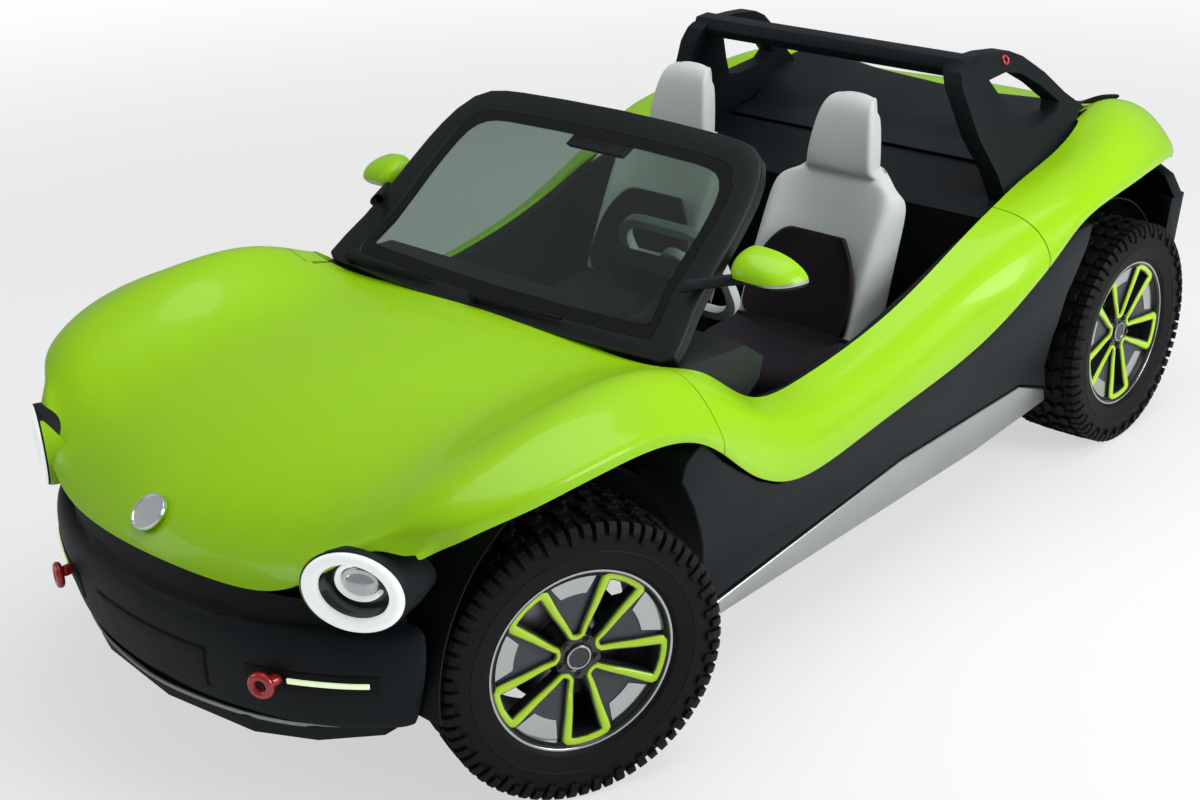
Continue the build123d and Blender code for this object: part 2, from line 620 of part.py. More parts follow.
# Windscreen: a raked frame with rounded top corners, and the pane in its rebate.
SCREEN_FOOT_Y_SHARE = 0.3052
SCREEN_FOOT_Z_SHARE = 0.6779
SCREEN_HEAD_Y_SHARE = 0.4467
SCREEN_HEAD_Z_SHARE = 0.9814
SCREEN_FOOT_HALF_SHARE = 0.719
SCREEN_HEAD_HALF_SHARE = 0.64
SCREEN_RAIL = 92.0
SCREEN_DEPTH = 46.0
SCREEN_CORNER_R = 120.0
GLASS_THICKNESS = 6.0
GLASS_GAP = 0.3
screen_foot = Vector(0, at_y(SCREEN_FOOT_Y_SHARE), at_z(SCREEN_FOOT_Z_SHARE))
screen_head = Vector(0, at_y(SCREEN_HEAD_Y_SHARE), at_z(SCREEN_HEAD_Z_SHARE))
screen_rise = screen_head - screen_foot
screen_length = screen_rise.length
screen_plane = Plane(
    origin=screen_foot,
    x_dir=(1, 0, 0),
    z_dir=Vector(1, 0, 0).cross(screen_rise.normalized()),
)
screen_outline = [
    (-at_x(SCREEN_FOOT_HALF_SHARE), 0),
    (at_x(SCREEN_FOOT_HALF_SHARE), 0),
    (at_x(SCREEN_HEAD_HALF_SHARE), screen_length),
    (-at_x(SCREEN_HEAD_HALF_SHARE), screen_length),
]

with BuildPart() as windscreen_frame:
    with BuildSketch(screen_plane.offset(-SCREEN_DEPTH / 2)):
        with BuildLine():
            Polyline(*screen_outline, close=True)
        outer = make_face()
        fillet(outer.vertices().group_by(Axis.Z)[-1], SCREEN_CORNER_R)
    extrude(amount=SCREEN_DEPTH)
    with BuildSketch(screen_plane.offset(-SCREEN_DEPTH)):
        with BuildLine():
            Polyline(*screen_outline, close=True)
        make_face()
        offset(amount=-SCREEN_RAIL, kind=Kind.INTERSECTION, mode=Mode.REPLACE)
    extrude(amount=2 * SCREEN_DEPTH, mode=Mode.SUBTRACT)
    add(front_shell.part, mode=Mode.SUBTRACT)
export(windscreen_frame.part, "windscreen_frame")

with BuildPart() as windscreen_glass:
    with BuildSketch(screen_plane.offset(-GLASS_THICKNESS / 2)):
        with BuildLine():
            Polyline(*screen_outline, close=True)
        make_face()
        offset(amount=-SCREEN_RAIL - GLASS_GAP, kind=Kind.INTERSECTION, mode=Mode.REPLACE)
    extrude(amount=GLASS_THICKNESS)
export(windscreen_glass.part, "windscreen_glass")

# Interior mirror: a small housing under the screen's head rail.
MIRROR_POD_WIDTH = 210.0
MIRROR_POD_HEIGHT = 62.0
MIRROR_POD_DEPTH = 34.0
MIRROR_STEM = 26.0
MIRROR_DROP = 88.0

with BuildPart() as interior_mirror:
    stem_plane = screen_plane.offset(-SCREEN_DEPTH / 2 - SEAT_GAP - MIRROR_STEM / 2)
    with Locations(stem_plane * Pos(0, screen_length - SCREEN_RAIL / 2 - MIRROR_DROP / 2)):
        Box(MIRROR_STEM, MIRROR_DROP, MIRROR_STEM)
    with Locations(stem_plane * Pos(0, screen_length - SCREEN_RAIL / 2 - MIRROR_DROP)):
        Box(MIRROR_POD_WIDTH, MIRROR_POD_HEIGHT, MIRROR_POD_DEPTH)
export(interior_mirror.part, "interior_mirror")

# Door mirrors: a moulded head on an arm from the foot of each screen pillar.
DOOR_MIRROR_SHARES = (0.791, 0.3901, 0.8193)
DOOR_MIRROR_WIDTH = 196.0
DOOR_MIRROR_HEIGHT = 112.0
DOOR_MIRROR_DEPTH = 110.0
DOOR_MIRROR_TAPER_DEG = 9.0
MIRROR_ARM_ROOT_SHARES = (0.677, 0.3495, 0.785)
MIRROR_ARM_WIDTH = 62.0
MIRROR_ARM_HEIGHT = 26.0
MIRROR_GLASS_MARGIN = 9.0
MIRROR_GLASS_THICKNESS = 4.0


with BuildPart() as door_mirrors:
    for side in (1, -1):
        head = place(DOOR_MIRROR_SHARES, side)
        root = place(MIRROR_ARM_ROOT_SHARES, side)
        back = Plane(head, x_dir=(1, 0, 0), z_dir=(0, -1, 0))
        with BuildSketch(back):
            RectangleRounded(DOOR_MIRROR_WIDTH, DOOR_MIRROR_HEIGHT, DOOR_MIRROR_HEIGHT / 4)
        extrude(amount=DOOR_MIRROR_DEPTH, taper=DOOR_MIRROR_TAPER_DEG)
        arm = head + Vector(0, -DOOR_MIRROR_DEPTH / 2, -DOOR_MIRROR_HEIGHT / 4)
        reach = arm - root
        with BuildSketch(Plane(root, x_dir=(0, 1, 0), z_dir=reach.normalized())):
            Rectangle(MIRROR_ARM_WIDTH, MIRROR_ARM_HEIGHT)
        extrude(amount=reach.length)
    add(windscreen_frame.part, mode=Mode.SUBTRACT)
export(door_mirrors.part, "door_mirrors")

with BuildPart() as mirror_glasses:
    for side in (1, -1):
        head = place(DOOR_MIRROR_SHARES, side) + Vector(0, SEAT_GAP, 0)
        with BuildSketch(Plane(head, x_dir=(-1, 0, 0), z_dir=(0, 1, 0))):
            RectangleRounded(
                DOOR_MIRROR_WIDTH - 2 * MIRROR_GLASS_MARGIN,
                DOOR_MIRROR_HEIGHT - 2 * MIRROR_GLASS_MARGIN,
                DOOR_MIRROR_HEIGHT / 4 - MIRROR_GLASS_MARGIN,
            )
        extrude(amount=MIRROR_GLASS_THICKNESS)
export(mirror_glasses.part, "mirror_glasses")

# Roll bar: a flat-sided hoop with raked buttresses, each with a three-cornered window.
HOOP_SHARES = (
    (0.7002, 0.6529), (0.6965, 0.75), (0.6857, 0.8321), (0.6815, 0.9407), (0.685, 0.9743), (0.6941, 0.9943),
    (0.7288, 0.9921), (0.7566, 0.9821), (0.7721, 0.9629), (0.7969, 0.9129), (0.8179, 0.8557),
    (0.841, 0.8079), (0.8504, 0.7871), (0.8442, 0.7529), (0.7568, 0.6957), (0.7224, 0.6529),
)
HOOP_WINDOW_SHARES = (
    (0.7187, 0.94), (0.7433, 0.9429), (0.763, 0.93), (0.7859, 0.89), (0.8061, 0.8421),
    (0.8011, 0.8221), (0.7618, 0.8114), (0.747, 0.8186), (0.7352, 0.8657),
)
HOOP_HEAD_HALF_SHARE = 0.564
HOOP_FOOT_HALF_SHARE = 0.76
HOOP_CORNER_SHARES = ((0.588, 0.9564), (0.569, 0.9843), (0.529, 1))
HOOP_LEG = 68.0
CROSSBAR_SHARES = (
    (0.6933, 0.9543), (0.6899, 0.9743), (0.6933, 0.9971), (0.7076, 1), (0.7199, 0.9871), (0.7125, 0.9586),
)
hoop_foot_z = at_z(HOOP_SHARES[0][1])

with BuildPart() as roll_bar:
    for side in (1, -1):
        with BuildPart(mode=Mode.PRIVATE) as leg:
            with BuildSketch(Plane.YZ):
                with BuildLine():
                    Polyline(*[(at_y(y), at_z(z)) for y, z in HOOP_SHARES], close=True)
                make_face()
                with BuildLine():
                    Polyline(*[(at_y(y), at_z(z)) for y, z in HOOP_WINDOW_SHARES], close=True)
                make_face(mode=Mode.SUBTRACT)
            extrude(amount=side * WIDTH)
            foot = side * at_x(HOOP_FOOT_HALF_SHARE)
            head = side * at_x(HOOP_HEAD_HALF_SHARE)
            with BuildSketch(across(0)):
                with BuildLine():
                    Polyline(
                        (foot, hoop_foot_z), *[(side * at_x(x), at_z(z)) for x, z in HOOP_CORNER_SHARES],
                        (head - side * HOOP_LEG, HEIGHT), (foot - side * HOOP_LEG, hoop_foot_z), close=True,
                    )
                make_face()
            extrude(amount=-LENGTH, mode=Mode.INTERSECT)
        add(leg.part)
    with BuildSketch(Plane.YZ.offset(-at_x(HOOP_HEAD_HALF_SHARE))):
        with BuildLine():
            Polyline(*[(at_y(y), at_z(z)) for y, z in CROSSBAR_SHARES], close=True)
        make_face()
    extrude(amount=2 * at_x(HOOP_HEAD_HALF_SHARE))
    add(rear_shell.part, mode=Mode.SUBTRACT)
    add(cabin_tub.part, mode=Mode.SUBTRACT)
export(roll_bar.part, "roll_bar")

# Rear deck: the dark cover between the seats, the roll bar's feet and the tail.
DECK_SHARES = (
    (0.6633, 0.6743), (0.7322, 0.6993), (0.827, 0.7136), (0.827, 0.6921), (0.7322, 0.6779), (0.6633, 0.6529),
)
DECK_HALF_SHARE = 0.736

with BuildPart() as rear_deck:
    with BuildSketch(Plane.YZ.offset(-at_x(DECK_HALF_SHARE))):
        with BuildLine():
            Polyline(*[(at_y(y), at_z(z)) for y, z in DECK_SHARES], close=True)
        make_face()
    extrude(amount=2 * at_x(DECK_HALF_SHARE))
    add(roll_bar.part, mode=Mode.SUBTRACT)
    add(rear_shell.part, mode=Mode.SUBTRACT)
export(rear_deck.part, "rear_deck")

# Seats: a one-piece shell with its headrest, and a pad on the cushion and lower back.
SEAT_X_SHARE = 0.344
SEAT_SIDE_SHARES = (
    (0.4959, 0.2957), (0.4886, 0.3814), (0.4959, 0.41), (0.5575, 0.3814), (0.5673, 0.3957), (0.6092, 0.7243),
    (0.6128, 0.8314), (0.6215, 0.9386), (0.6338, 0.9457), (0.6387, 0.8671), (0.6338, 0.7243),
    (0.5968, 0.3529), (0.5845, 0.2957),
)
SEAT_FRONT_SHARES = (
    (0.217, 0.2957), (0.245, 0.51), (0.243, 0.7243), (0.22, 0.7586), (0.15, 0.7871), (0.137, 0.8171),
    (0.102, 0.9314),
)
SEAT_BASE_Z_SHARE = 0.2957
SEAT_RISER_HALF = 150.0
PAD_SHARES = (
    (0.5009, 0.41), (0.5575, 0.3829), (0.5673, 0.3971), (0.5919, 0.5814), (0.5821, 0.5814), (0.5612, 0.4314),
    (0.5525, 0.4207), (0.5058, 0.4421), (0.4972, 0.4314),
)
PAD_HALF_SHARE = 0.175

pads = []
for name, side in (("left", 1), ("right", -1)):
    seat_x = side * at_x(SEAT_X_SHARE)
    with BuildPart() as seat_pad:
        with BuildSketch(Plane.YZ.offset(seat_x - at_x(PAD_HALF_SHARE))):
            with BuildLine():
                Polyline(*[(at_y(y), at_z(z)) for y, z in PAD_SHARES], close=True)
            make_face()
        extrude(amount=2 * at_x(PAD_HALF_SHARE))
    with BuildPart() as seat_shell:
        with BuildSketch(Plane.YZ.offset(seat_x - at_x(SEAT_FRONT_SHARES[1][0]))):
            with BuildLine():
                Polyline(*[(at_y(y), at_z(z)) for y, z in SEAT_SIDE_SHARES], close=True)
            make_face()
        extrude(amount=2 * at_x(SEAT_FRONT_SHARES[1][0]))
        with BuildSketch(across(0)):
            half = [(at_x(x), at_z(z)) for x, z in SEAT_FRONT_SHARES]
            with BuildLine():
                Polyline(*[(seat_x + x, z) for x, z in mirrored(half)], close=True)
            make_face()
        extrude(amount=-LENGTH, mode=Mode.INTERSECT)
        riser_foot = tub_bottom + TUB_WALL + SEAT_GAP
        riser_top = at_z(SEAT_BASE_Z_SHARE)
        riser_mid = at_y((SEAT_SIDE_SHARES[0][0] + SEAT_SIDE_SHARES[-1][0]) / 2)
        with Locations((seat_x, riser_mid, (riser_foot + riser_top) / 2)):
            Box(2 * SEAT_RISER_HALF, 2 * SEAT_RISER_HALF, riser_top - riser_foot)
        add(seat_pad.part, mode=Mode.SUBTRACT)
    export(seat_shell.part, f"seat_shell_{name}")
    pads.append(seat_pad.part)
export(Part(children=pads), "seat_pads")

# Dashboard: a full-width moulding behind the firewall.
DASH_SHARES = ((0.3237, 0.6614), (0.3729, 0.6529), (0.3926, 0.61), (0.3876, 0.5671), (0.3581, 0.51))
DASH_FRONT_Z_SHARES = (0.6564, 0.4671)
DASH_HALF_SHARE = 0.74

firewall_face = tub_front + TUB_WALL + SEAT_GAP

with BuildPart() as dashboard:
    with BuildSketch(Plane.YZ.offset(-at_x(DASH_HALF_SHARE))):
        with BuildLine():
            Polyline(
                (firewall_face, at_z(DASH_FRONT_Z_SHARES[0])), *[(at_y(y), at_z(z)) for y, z in DASH_SHARES],
                (firewall_face, at_z(DASH_FRONT_Z_SHARES[1])), close=True,
            )
        make_face()
    extrude(amount=2 * at_x(DASH_HALF_SHARE))
    add(front_shell.part, mode=Mode.SUBTRACT)
    add(cabin_tub.part, mode=Mode.SUBTRACT)
export(dashboard.part, "dashboard")

# Steering wheel: a six-sided rim on three spokes, turning on the column.
WHEEL_CENTRE_SHARES = (0.344, 0.4159, 0.7136)
COLUMN_RAKE_DEG = 26.0
WHEEL_WIDTH = 370.0
WHEEL_HEIGHT = 340.0
WHEEL_RIM = 30.0
WHEEL_HUB_R = 62.0
WHEEL_THICKNESS = 28.0
WHEEL_SPOKE = 44.0
COLUMN_R = 30.0
COLUMN_LENGTH = 250.0
POD_SET_BACK = 95.0
wheel_centre = place(WHEEL_CENTRE_SHARES, 1)
column_axis = Vector(0, cos(radians(COLUMN_RAKE_DEG)), sin(radians(COLUMN_RAKE_DEG)))
wheel_plane = Plane(origin=wheel_centre, x_dir=(-1, 0, 0), z_dir=column_axis)

with BuildPart() as steering_wheel:
    with BuildSketch(wheel_plane.offset(-WHEEL_THICKNESS / 2)):
        rim = RectangleRounded(WHEEL_WIDTH, WHEEL_HEIGHT, WHEEL_HEIGHT / 3)
        offset(rim, amount=-WHEEL_RIM, mode=Mode.SUBTRACT)
        Circle(WHEEL_HUB_R)
        with Locations((WHEEL_WIDTH / 4, 0), (-WHEEL_WIDTH / 4, 0)):
            Rectangle(WHEEL_WIDTH / 2 - WHEEL_RIM, WHEEL_SPOKE)
        with Locations((0, -WHEEL_HEIGHT / 4)):
            Rectangle(WHEEL_SPOKE, WHEEL_HEIGHT / 2 - WHEEL_RIM)
    extrude(amount=WHEEL_THICKNESS)
export(steering_wheel.part, "steering_wheel")

# Instrument pod: the column shroud with the driver's display above it.
POD_WIDTH = 230.0
POD_HEIGHT = 110.0
POD_DEPTH = 60.0
POD_RISE = 70.0

with BuildPart() as instrument_pod:
    column_start = wheel_plane.offset(-WHEEL_THICKNESS / 2 - SEAT_GAP)
    with BuildSketch(column_start):
        Circle(COLUMN_R)
    extrude(amount=-COLUMN_LENGTH)
    with Locations(column_start.offset(-POD_SET_BACK) * Pos(0, POD_RISE)):
        Box(POD_WIDTH, POD_HEIGHT, POD_DEPTH)
    add(dashboard.part, mode=Mode.SUBTRACT)
export(instrument_pod.part, "instrument_pod")

# Console: the low spine between the seats.
CONSOLE_SHARES = ((0.363, 0.4529), (0.4492, 0.3814), (0.5919, 0.3671))
CONSOLE_HALF = 70.0

console_foot = tub_bottom + TUB_WALL + SEAT_GAP
console_line = [(at_y(y), at_z(z)) for y, z in CONSOLE_SHARES]

with BuildPart() as console:
    with BuildSketch(Plane.YZ.offset(-CONSOLE_HALF)):
        with BuildLine():
            Polyline(
                *console_line, (console_line[-1][0], console_foot), (console_line[0][0], console_foot),
                close=True,
            )
        make_face()
    extrude(amount=2 * CONSOLE_HALF)
    add(cabin_tub.part, mode=Mode.SUBTRACT)
    add(dashboard.part, mode=Mode.SUBTRACT)
export(console.part, "console")

# Pedals: two hung pads in front of the driver.
PEDAL_SHARES = ((0.286, 0.3384), (0.412, 0.3384))
PEDAL_WIDTH = 62.0
PEDAL_HEIGHT = 110.0
PEDAL_THICKNESS = 12.0
PEDAL_Z_SHARE = 0.3457
PEDAL_ARM = 14.0

with BuildPart() as pedals:
    for x_share, y_share in PEDAL_SHARES:
        pad = Vector(at_x(x_share), at_y(y_share), at_z(PEDAL_Z_SHARE))
        with Locations(pad):
            Box(PEDAL_WIDTH, PEDAL_THICKNESS, PEDAL_HEIGHT)
        reach = pad.Y - tub_front - TUB_WALL - SEAT_GAP
        with Locations(pad - Vector(0, reach / 2, 0)):
            Box(PEDAL_ARM, reach, PEDAL_ARM)
export(pedals.part, "pedals")

# Tyres: one carcass outline turned about the axle, open towards the rim.
RIM_HALF_WIDTH = 104.0
RIM_FLANGE = 8.0
RIM_WALL = 7.0
BEAD_R = 228.6
CARCASS_SHARES = ((0.93, 0.7), (1, 0.8), (0.99, 0.9), (0.93, 0.965), (0.83, 0.993), (0.3, 1))
CARCASS_INNER_SHARES = ((0.65, 0.95), (0.86, 0.91), (0.88, 0.81), (0.74, 0.7))
BEAD_WIDTH = 22.0
TYRE_R = TYRE_DIAMETER / 2
RIM_FLANGE_R = RIM_FLANGE_DIAMETER / 2

bead_x = RIM_HALF_WIDTH - SEAT_GAP
outer_line = [(bead_x, BEAD_R + SEAT_GAP), (bead_x, RIM_FLANGE_R + SEAT_GAP)]
outer_line += [(TYRE_WIDTH / 2 * x, TYRE_R * r) for x, r in CARCASS_SHARES]
inner_line = [(TYRE_WIDTH / 2 * x, TYRE_R * r) for x, r in CARCASS_INNER_SHARES]
inner_line += [(bead_x - BEAD_WIDTH, BEAD_R + SEAT_GAP)]
half_carcass = outer_line + [(-x, r) for x, r in reversed(outer_line)]
half_carcass += [(-x, r) for x, r in reversed(inner_line)] + inner_line

with BuildPart() as tyre:
    with BuildSketch(Plane.XY):
        with BuildLine():
            Polyline(*half_carcass, close=True)
        make_face()
    revolve(axis=Axis.X)

# Rims: a flanged barrel with a five-petal face, on a hub with a bored centre.
FACE_OUT_X = 84.0
FACE_WALL = 22.0
HUB_R = 74.0
HUB_IN_X = 2.0
PETALS = 5
PETAL_TURN_DEG = -88.0
PETAL_INNER_R = 78.0
PETAL_OUTER_R = 219.0
PETAL_INNER_HALF = 18.0
PETAL_OUTER_HALF = 50.0
PETAL_CORNER_R = 12.0
CAP_R = 34.0
CAP_DEPTH = 10.0

petal_outline = (
    (PETAL_INNER_R, -PETAL_INNER_HALF), (PETAL_OUTER_R, -PETAL_OUTER_HALF),
    (PETAL_OUTER_R, PETAL_OUTER_HALF), (PETAL_INNER_R, PETAL_INNER_HALF),
)

with BuildPart() as rim:
    with BuildSketch(Plane.XY):
        with BuildLine():
            flange_x = RIM_HALF_WIDTH + RIM_FLANGE
            Polyline(
                (flange_x, BEAD_R - RIM_WALL), (flange_x, RIM_FLANGE_R), (RIM_HALF_WIDTH, RIM_FLANGE_R),
                (RIM_HALF_WIDTH, BEAD_R), (-RIM_HALF_WIDTH, BEAD_R), (-RIM_HALF_WIDTH, RIM_FLANGE_R),
                (-flange_x, RIM_FLANGE_R), (-flange_x, BEAD_R - RIM_WALL), close=True,
            )
        make_face()
    revolve(axis=Axis.X)
    with BuildSketch(Plane.YZ.offset(FACE_OUT_X - FACE_WALL)):
        Circle(BEAD_R - RIM_WALL / 2)
        for petal_number in range(PETALS):
            with BuildLine(Rot(0, 0, petal_number * 360 / PETALS + PETAL_TURN_DEG)):
                FilletPolyline(*petal_outline, radius=PETAL_CORNER_R, close=True)
            make_face(mode=Mode.SUBTRACT)
    extrude(amount=FACE_WALL)
    with BuildSketch(Plane.YZ.offset(HUB_IN_X)):
        Circle(HUB_R)
    extrude(amount=FACE_OUT_X - FACE_WALL - HUB_IN_X)
    with BuildSketch(Plane.YZ.offset(FACE_OUT_X)):
        Circle(CAP_R)
    extrude(amount=CAP_DEPTH)

# Brake discs: a plain rotor with its hat, seated on the hub.
DISC_R = 165.0
DISC_THICKNESS = 22.0
DISC_HAT_R = 76.0
DISC_HAT_DEPTH = 26.0

with BuildPart() as brake_disc:
    with BuildSketch(Plane.YZ.offset(HUB_IN_X - SEAT_GAP - DISC_HAT_DEPTH)):
        Circle(DISC_HAT_R)
    extrude(amount=DISC_HAT_DEPTH)
    with BuildSketch(Plane.YZ.offset(HUB_IN_X - SEAT_GAP - DISC_HAT_DEPTH)):
        Circle(DISC_R)
    extrude(amount=DISC_THICKNESS)

# Knuckles: the upright between the arms' eyes, with the wheel bearing and the brake caliper.
KNUCKLE_HALF = 108.0
KNUCKLE_EAR = 44.0
BEARING_R = 58.0
BEARING_LENGTH = 52.0
CALIPER_HALF = 60.0
CALIPER_IN_R = 92.0
CALIPER_OUT_R = 186.0
CALIPER_WALL = 24.0
DISC_CLEARANCE = 3.0
kingpin_in = HALF_TRACK - KINGPIN_X
disc_back = HUB_IN_X - SEAT_GAP - DISC_HAT_DEPTH
disc_front = disc_back + DISC_THICKNESS
bearing_face = disc_back - SEAT_GAP

with BuildPart() as knuckle:
    with Locations((-kingpin_in, 0, 0)):
        Box(KNUCKLE_EAR, KNUCKLE_EAR, 2 * KNUCKLE_HALF)
    caliper_in = disc_back - DISC_CLEARANCE - CALIPER_WALL
    caliper_out = disc_front + DISC_CLEARANCE + CALIPER_WALL / 2
    with Locations(((caliper_in + caliper_out) / 2, (CALIPER_IN_R + CALIPER_OUT_R) / 2, 0)):
        Box(caliper_out - caliper_in, CALIPER_OUT_R - CALIPER_IN_R, 2 * CALIPER_HALF)
    with BuildSketch(Plane.YZ.offset(disc_back - DISC_CLEARANCE)):
        Circle(DISC_R + DISC_CLEARANCE)
    extrude(amount=DISC_THICKNESS + 2 * DISC_CLEARANCE, mode=Mode.SUBTRACT)
    with BuildSketch(Plane.YZ.offset(disc_front)):
        Circle(BEAD_R)
        Circle(CALIPER_OUT_R - DISC_CLEARANCE, mode=Mode.SUBTRACT)
    extrude(amount=CALIPER_WALL, mode=Mode.SUBTRACT)
    with Locations(((caliper_in + bearing_face) / 2, CALIPER_IN_R / 2, 0)):
        Box(bearing_face - DISC_CLEARANCE - caliper_in, CALIPER_IN_R, KNUCKLE_EAR)
    with BuildSketch(Plane.YZ.offset(bearing_face)):
        Circle(BEARING_R)
    extrude(amount=-BEARING_LENGTH)

# The four corners. The front pair turns about its kingpins and rests steered as photographed.
CORNERS = (
    ("front_left", 1, FRONT_AXLE_Y, STEER_REST_DEG),
    ("front_right", -1, FRONT_AXLE_Y, STEER_REST_DEG),
    ("rear_left", 1, REAR_AXLE_Y, 0),
    ("rear_right", -1, REAR_AXLE_Y, 0),
)

knuckles = {}
for name, side, axle_y, steer in CORNERS:
    turn = Pos(side * KINGPIN_X, axle_y, AXLE_Z) * Rot(0, 0, steer)
    outward = Pos(side * kingpin_in, 0, 0) * Rot(0, 0, 0 if side > 0 else 180)
    export(turn * outward * tyre.part, f"tyre_{name}")
    export(turn * outward * rim.part, f"rim_{name}")
    export(turn * outward * brake_disc.part, f"brake_disc_{name}")
    knuckles[name] = turn * outward * knuckle.part
export(knuckles["front_left"], "knuckle_left")
export(knuckles["front_right"], "knuckle_right")
with BuildPart() as rear_knuckles:
    add(knuckles["rear_left"])
    add(knuckles["rear_right"])
export(rear_knuckles.part, "rear_knuckles")

# Arms: an upper and a lower wishbone from each rail to the knuckle's ears.
ARM_EYE_R = 20.0
ARM_WALL = 20.0
ARM_SPREAD = 150.0
ARM_LEG = 44.0
ARM_CROTCH = 90.0
LOWER_PIVOT_DROP = 8.0
UPPER_PIVOT_DROP = 10.0
arm_root = at_x(RAIL_X_SHARE) + RAIL_WIDTH / 2 + SEAT_GAP
arm_tip = KINGPIN_X + ARM_EYE_R
lower_eye_z = AXLE_Z - KNUCKLE_HALF - SEAT_GAP - ARM_WALL
upper_eye_z = AXLE_Z + KNUCKLE_HALF + SEAT_GAP
lower_root_z = rail_z - RAIL_HEIGHT / 2 + LOWER_PIVOT_DROP
upper_root_z = rail_z + RAIL_HEIGHT / 2 - UPPER_PIVOT_DROP - ARM_WALL


def wishbones(axle_y, root_levels):
    """Solids of the wishbones at one axle, each from its eye height and its root height."""
    for side in (1, -1):
        for eye_z, root_z in root_levels:
            with BuildPart(mode=Mode.PRIVATE) as arm:
                with BuildSketch(Plane.XZ.offset(-axle_y + ARM_SPREAD)):
                    knee = KINGPIN_X - 2 * ARM_EYE_R
                    with BuildLine():
                        Polyline(
                            (side * arm_root, root_z), (side * knee, eye_z), (side * arm_tip, eye_z),
                            (side * arm_tip, eye_z + ARM_WALL), (side * knee, eye_z + ARM_WALL),
                            (side * arm_root, root_z + ARM_WALL), close=True,
                        )
                    make_face()
                extrude(amount=-2 * ARM_SPREAD)
                with BuildSketch(Plane.XY):
                    with BuildLine():
                        Polyline(
                            (side * arm_root, axle_y - ARM_SPREAD), (side * arm_tip, axle_y - ARM_EYE_R),
                            (side * arm_tip, axle_y + ARM_EYE_R), (side * arm_root, axle_y + ARM_SPREAD),
                            (side * arm_root, axle_y + ARM_SPREAD - ARM_LEG),
                            (side * (KINGPIN_X - ARM_CROTCH), axle_y),
                            (side * arm_root, axle_y - ARM_SPREAD + ARM_LEG), close=True,
                        )
                    make_face()
                extrude(amount=HEIGHT, mode=Mode.INTERSECT)
            add(arm.part)


lower_level = (lower_eye_z, lower_root_z)
upper_level = (upper_eye_z, upper_root_z)

with BuildPart() as front_arms:
    wishbones(FRONT_AXLE_Y, (lower_level, upper_level))
export(front_arms.part, "front_arms")

with BuildPart() as rear_arms:
    wishbones(REAR_AXLE_Y, (lower_level,))
    for side in (1, -1):
        root = Vector(side * arm_root, REAR_AXLE_Y - ARM_SPREAD, upper_root_z + ARM_WALL / 2)
        eye = Vector(side * KINGPIN_X, REAR_AXLE_Y, upper_eye_z + ARM_WALL / 2)
        reach = eye - root
        with BuildSketch(Plane(root, x_dir=(0, 0, 1), z_dir=reach.normalized())):
            Circle(ARM_WALL / 2)
        extrude(amount=reach.length)
        with Locations(eye):
            Cylinder(ARM_EYE_R, ARM_WALL)
    add(rear_subframe.part, mode=Mode.SUBTRACT)
    add(rear_knuckles.part, mode=Mode.SUBTRACT)
export(rear_arms.part, "rear_arms")

# Dampers: a strut from each lower arm to its tower, inside a coil spring's outline.
damper_top = at_z(TOWER_Z_SHARE) - SEAT_GAP
spring_foot = damper_top - SPRING_LENGTH

with BuildPart() as dampers:
    for side in (1, -1):
        for y in (FRONT_AXLE_Y, REAR_AXLE_Y + REAR_DAMPER_SET_Y):
            with BuildSketch(Plane.XY.offset(lower_root_z)):
                with Locations((side * DAMPER_X, y)):
                    Circle(DAMPER_R)
            extrude(amount=damper_top - lower_root_z)
            with BuildSketch(Plane.XY.offset(spring_foot)):
                with Locations((side * DAMPER_X, y)):
                    Circle(SPRING_R)
            extrude(amount=damper_top - spring_foot)
    add(front_arms.part, mode=Mode.SUBTRACT)
    add(rear_arms.part, mode=Mode.SUBTRACT)
export(dampers.part, "dampers")

# Wheel liners: arched covers over the tyres, closed on their inner side above the arms.
LINER_WALL = 5.0
LINER_OUTSET = 9.0
liner_out = HALF_TRACK - LINER_OUTSET
LINER_FLOOR_SHARE = 0.2457
LINER_SIDE_Z_SHARE = 0.3886
SPRING_HOLE_R = 52.0

with BuildPart() as wheel_liners:
    for side in (1, -1):
        for axle_y, damper_y in ((FRONT_AXLE_Y, 0), (REAR_AXLE_Y, REAR_DAMPER_SET_Y)):
            with BuildPart(mode=Mode.PRIVATE) as liner:
                with BuildSketch(Plane.YZ.offset(side * liner_in)):
                    with Locations((axle_y, AXLE_Z)):
                        Circle(liner_r)
                extrude(amount=side * (liner_out - liner_in))
                with BuildSketch(Plane.YZ.offset(side * (liner_in + LINER_WALL))):
                    with Locations((axle_y, AXLE_Z)):
                        Circle(liner_r - LINER_WALL)
                extrude(amount=side * liner_out, mode=Mode.SUBTRACT)
                with Locations((side * liner_out, axle_y, at_z(LINER_FLOOR_SHARE) - HEIGHT / 2)):
                    Box(2 * liner_out, 3 * liner_r, HEIGHT, mode=Mode.SUBTRACT)
                with Locations((side * liner_in, axle_y, at_z(LINER_SIDE_Z_SHARE) - HEIGHT / 2)):
                    Box(4 * LINER_WALL, 2 * liner_r, HEIGHT, mode=Mode.SUBTRACT)
                notch_out = DAMPER_X + SPRING_HOLE_R
                notch_x = (notch_out + liner_in - LINER_WALL) / 2
                with Locations((side * notch_x, axle_y + damper_y, AXLE_Z + liner_r)):
                    Box(notch_out - liner_in + LINER_WALL, 2 * SPRING_HOLE_R, liner_r, mode=Mode.SUBTRACT)
            add(liner.part)
export(wheel_liners.part, "wheel_liners")

# Wipers: two arms with blades lying over the foot of the screen.
WIPER_SHARES = ((0.127, 0.592), (0.063, 0.402))
WIPER_BLADE = 12.0
WIPER_RISE_SHARE = 0.0779
WIPER_STAND = 16.0

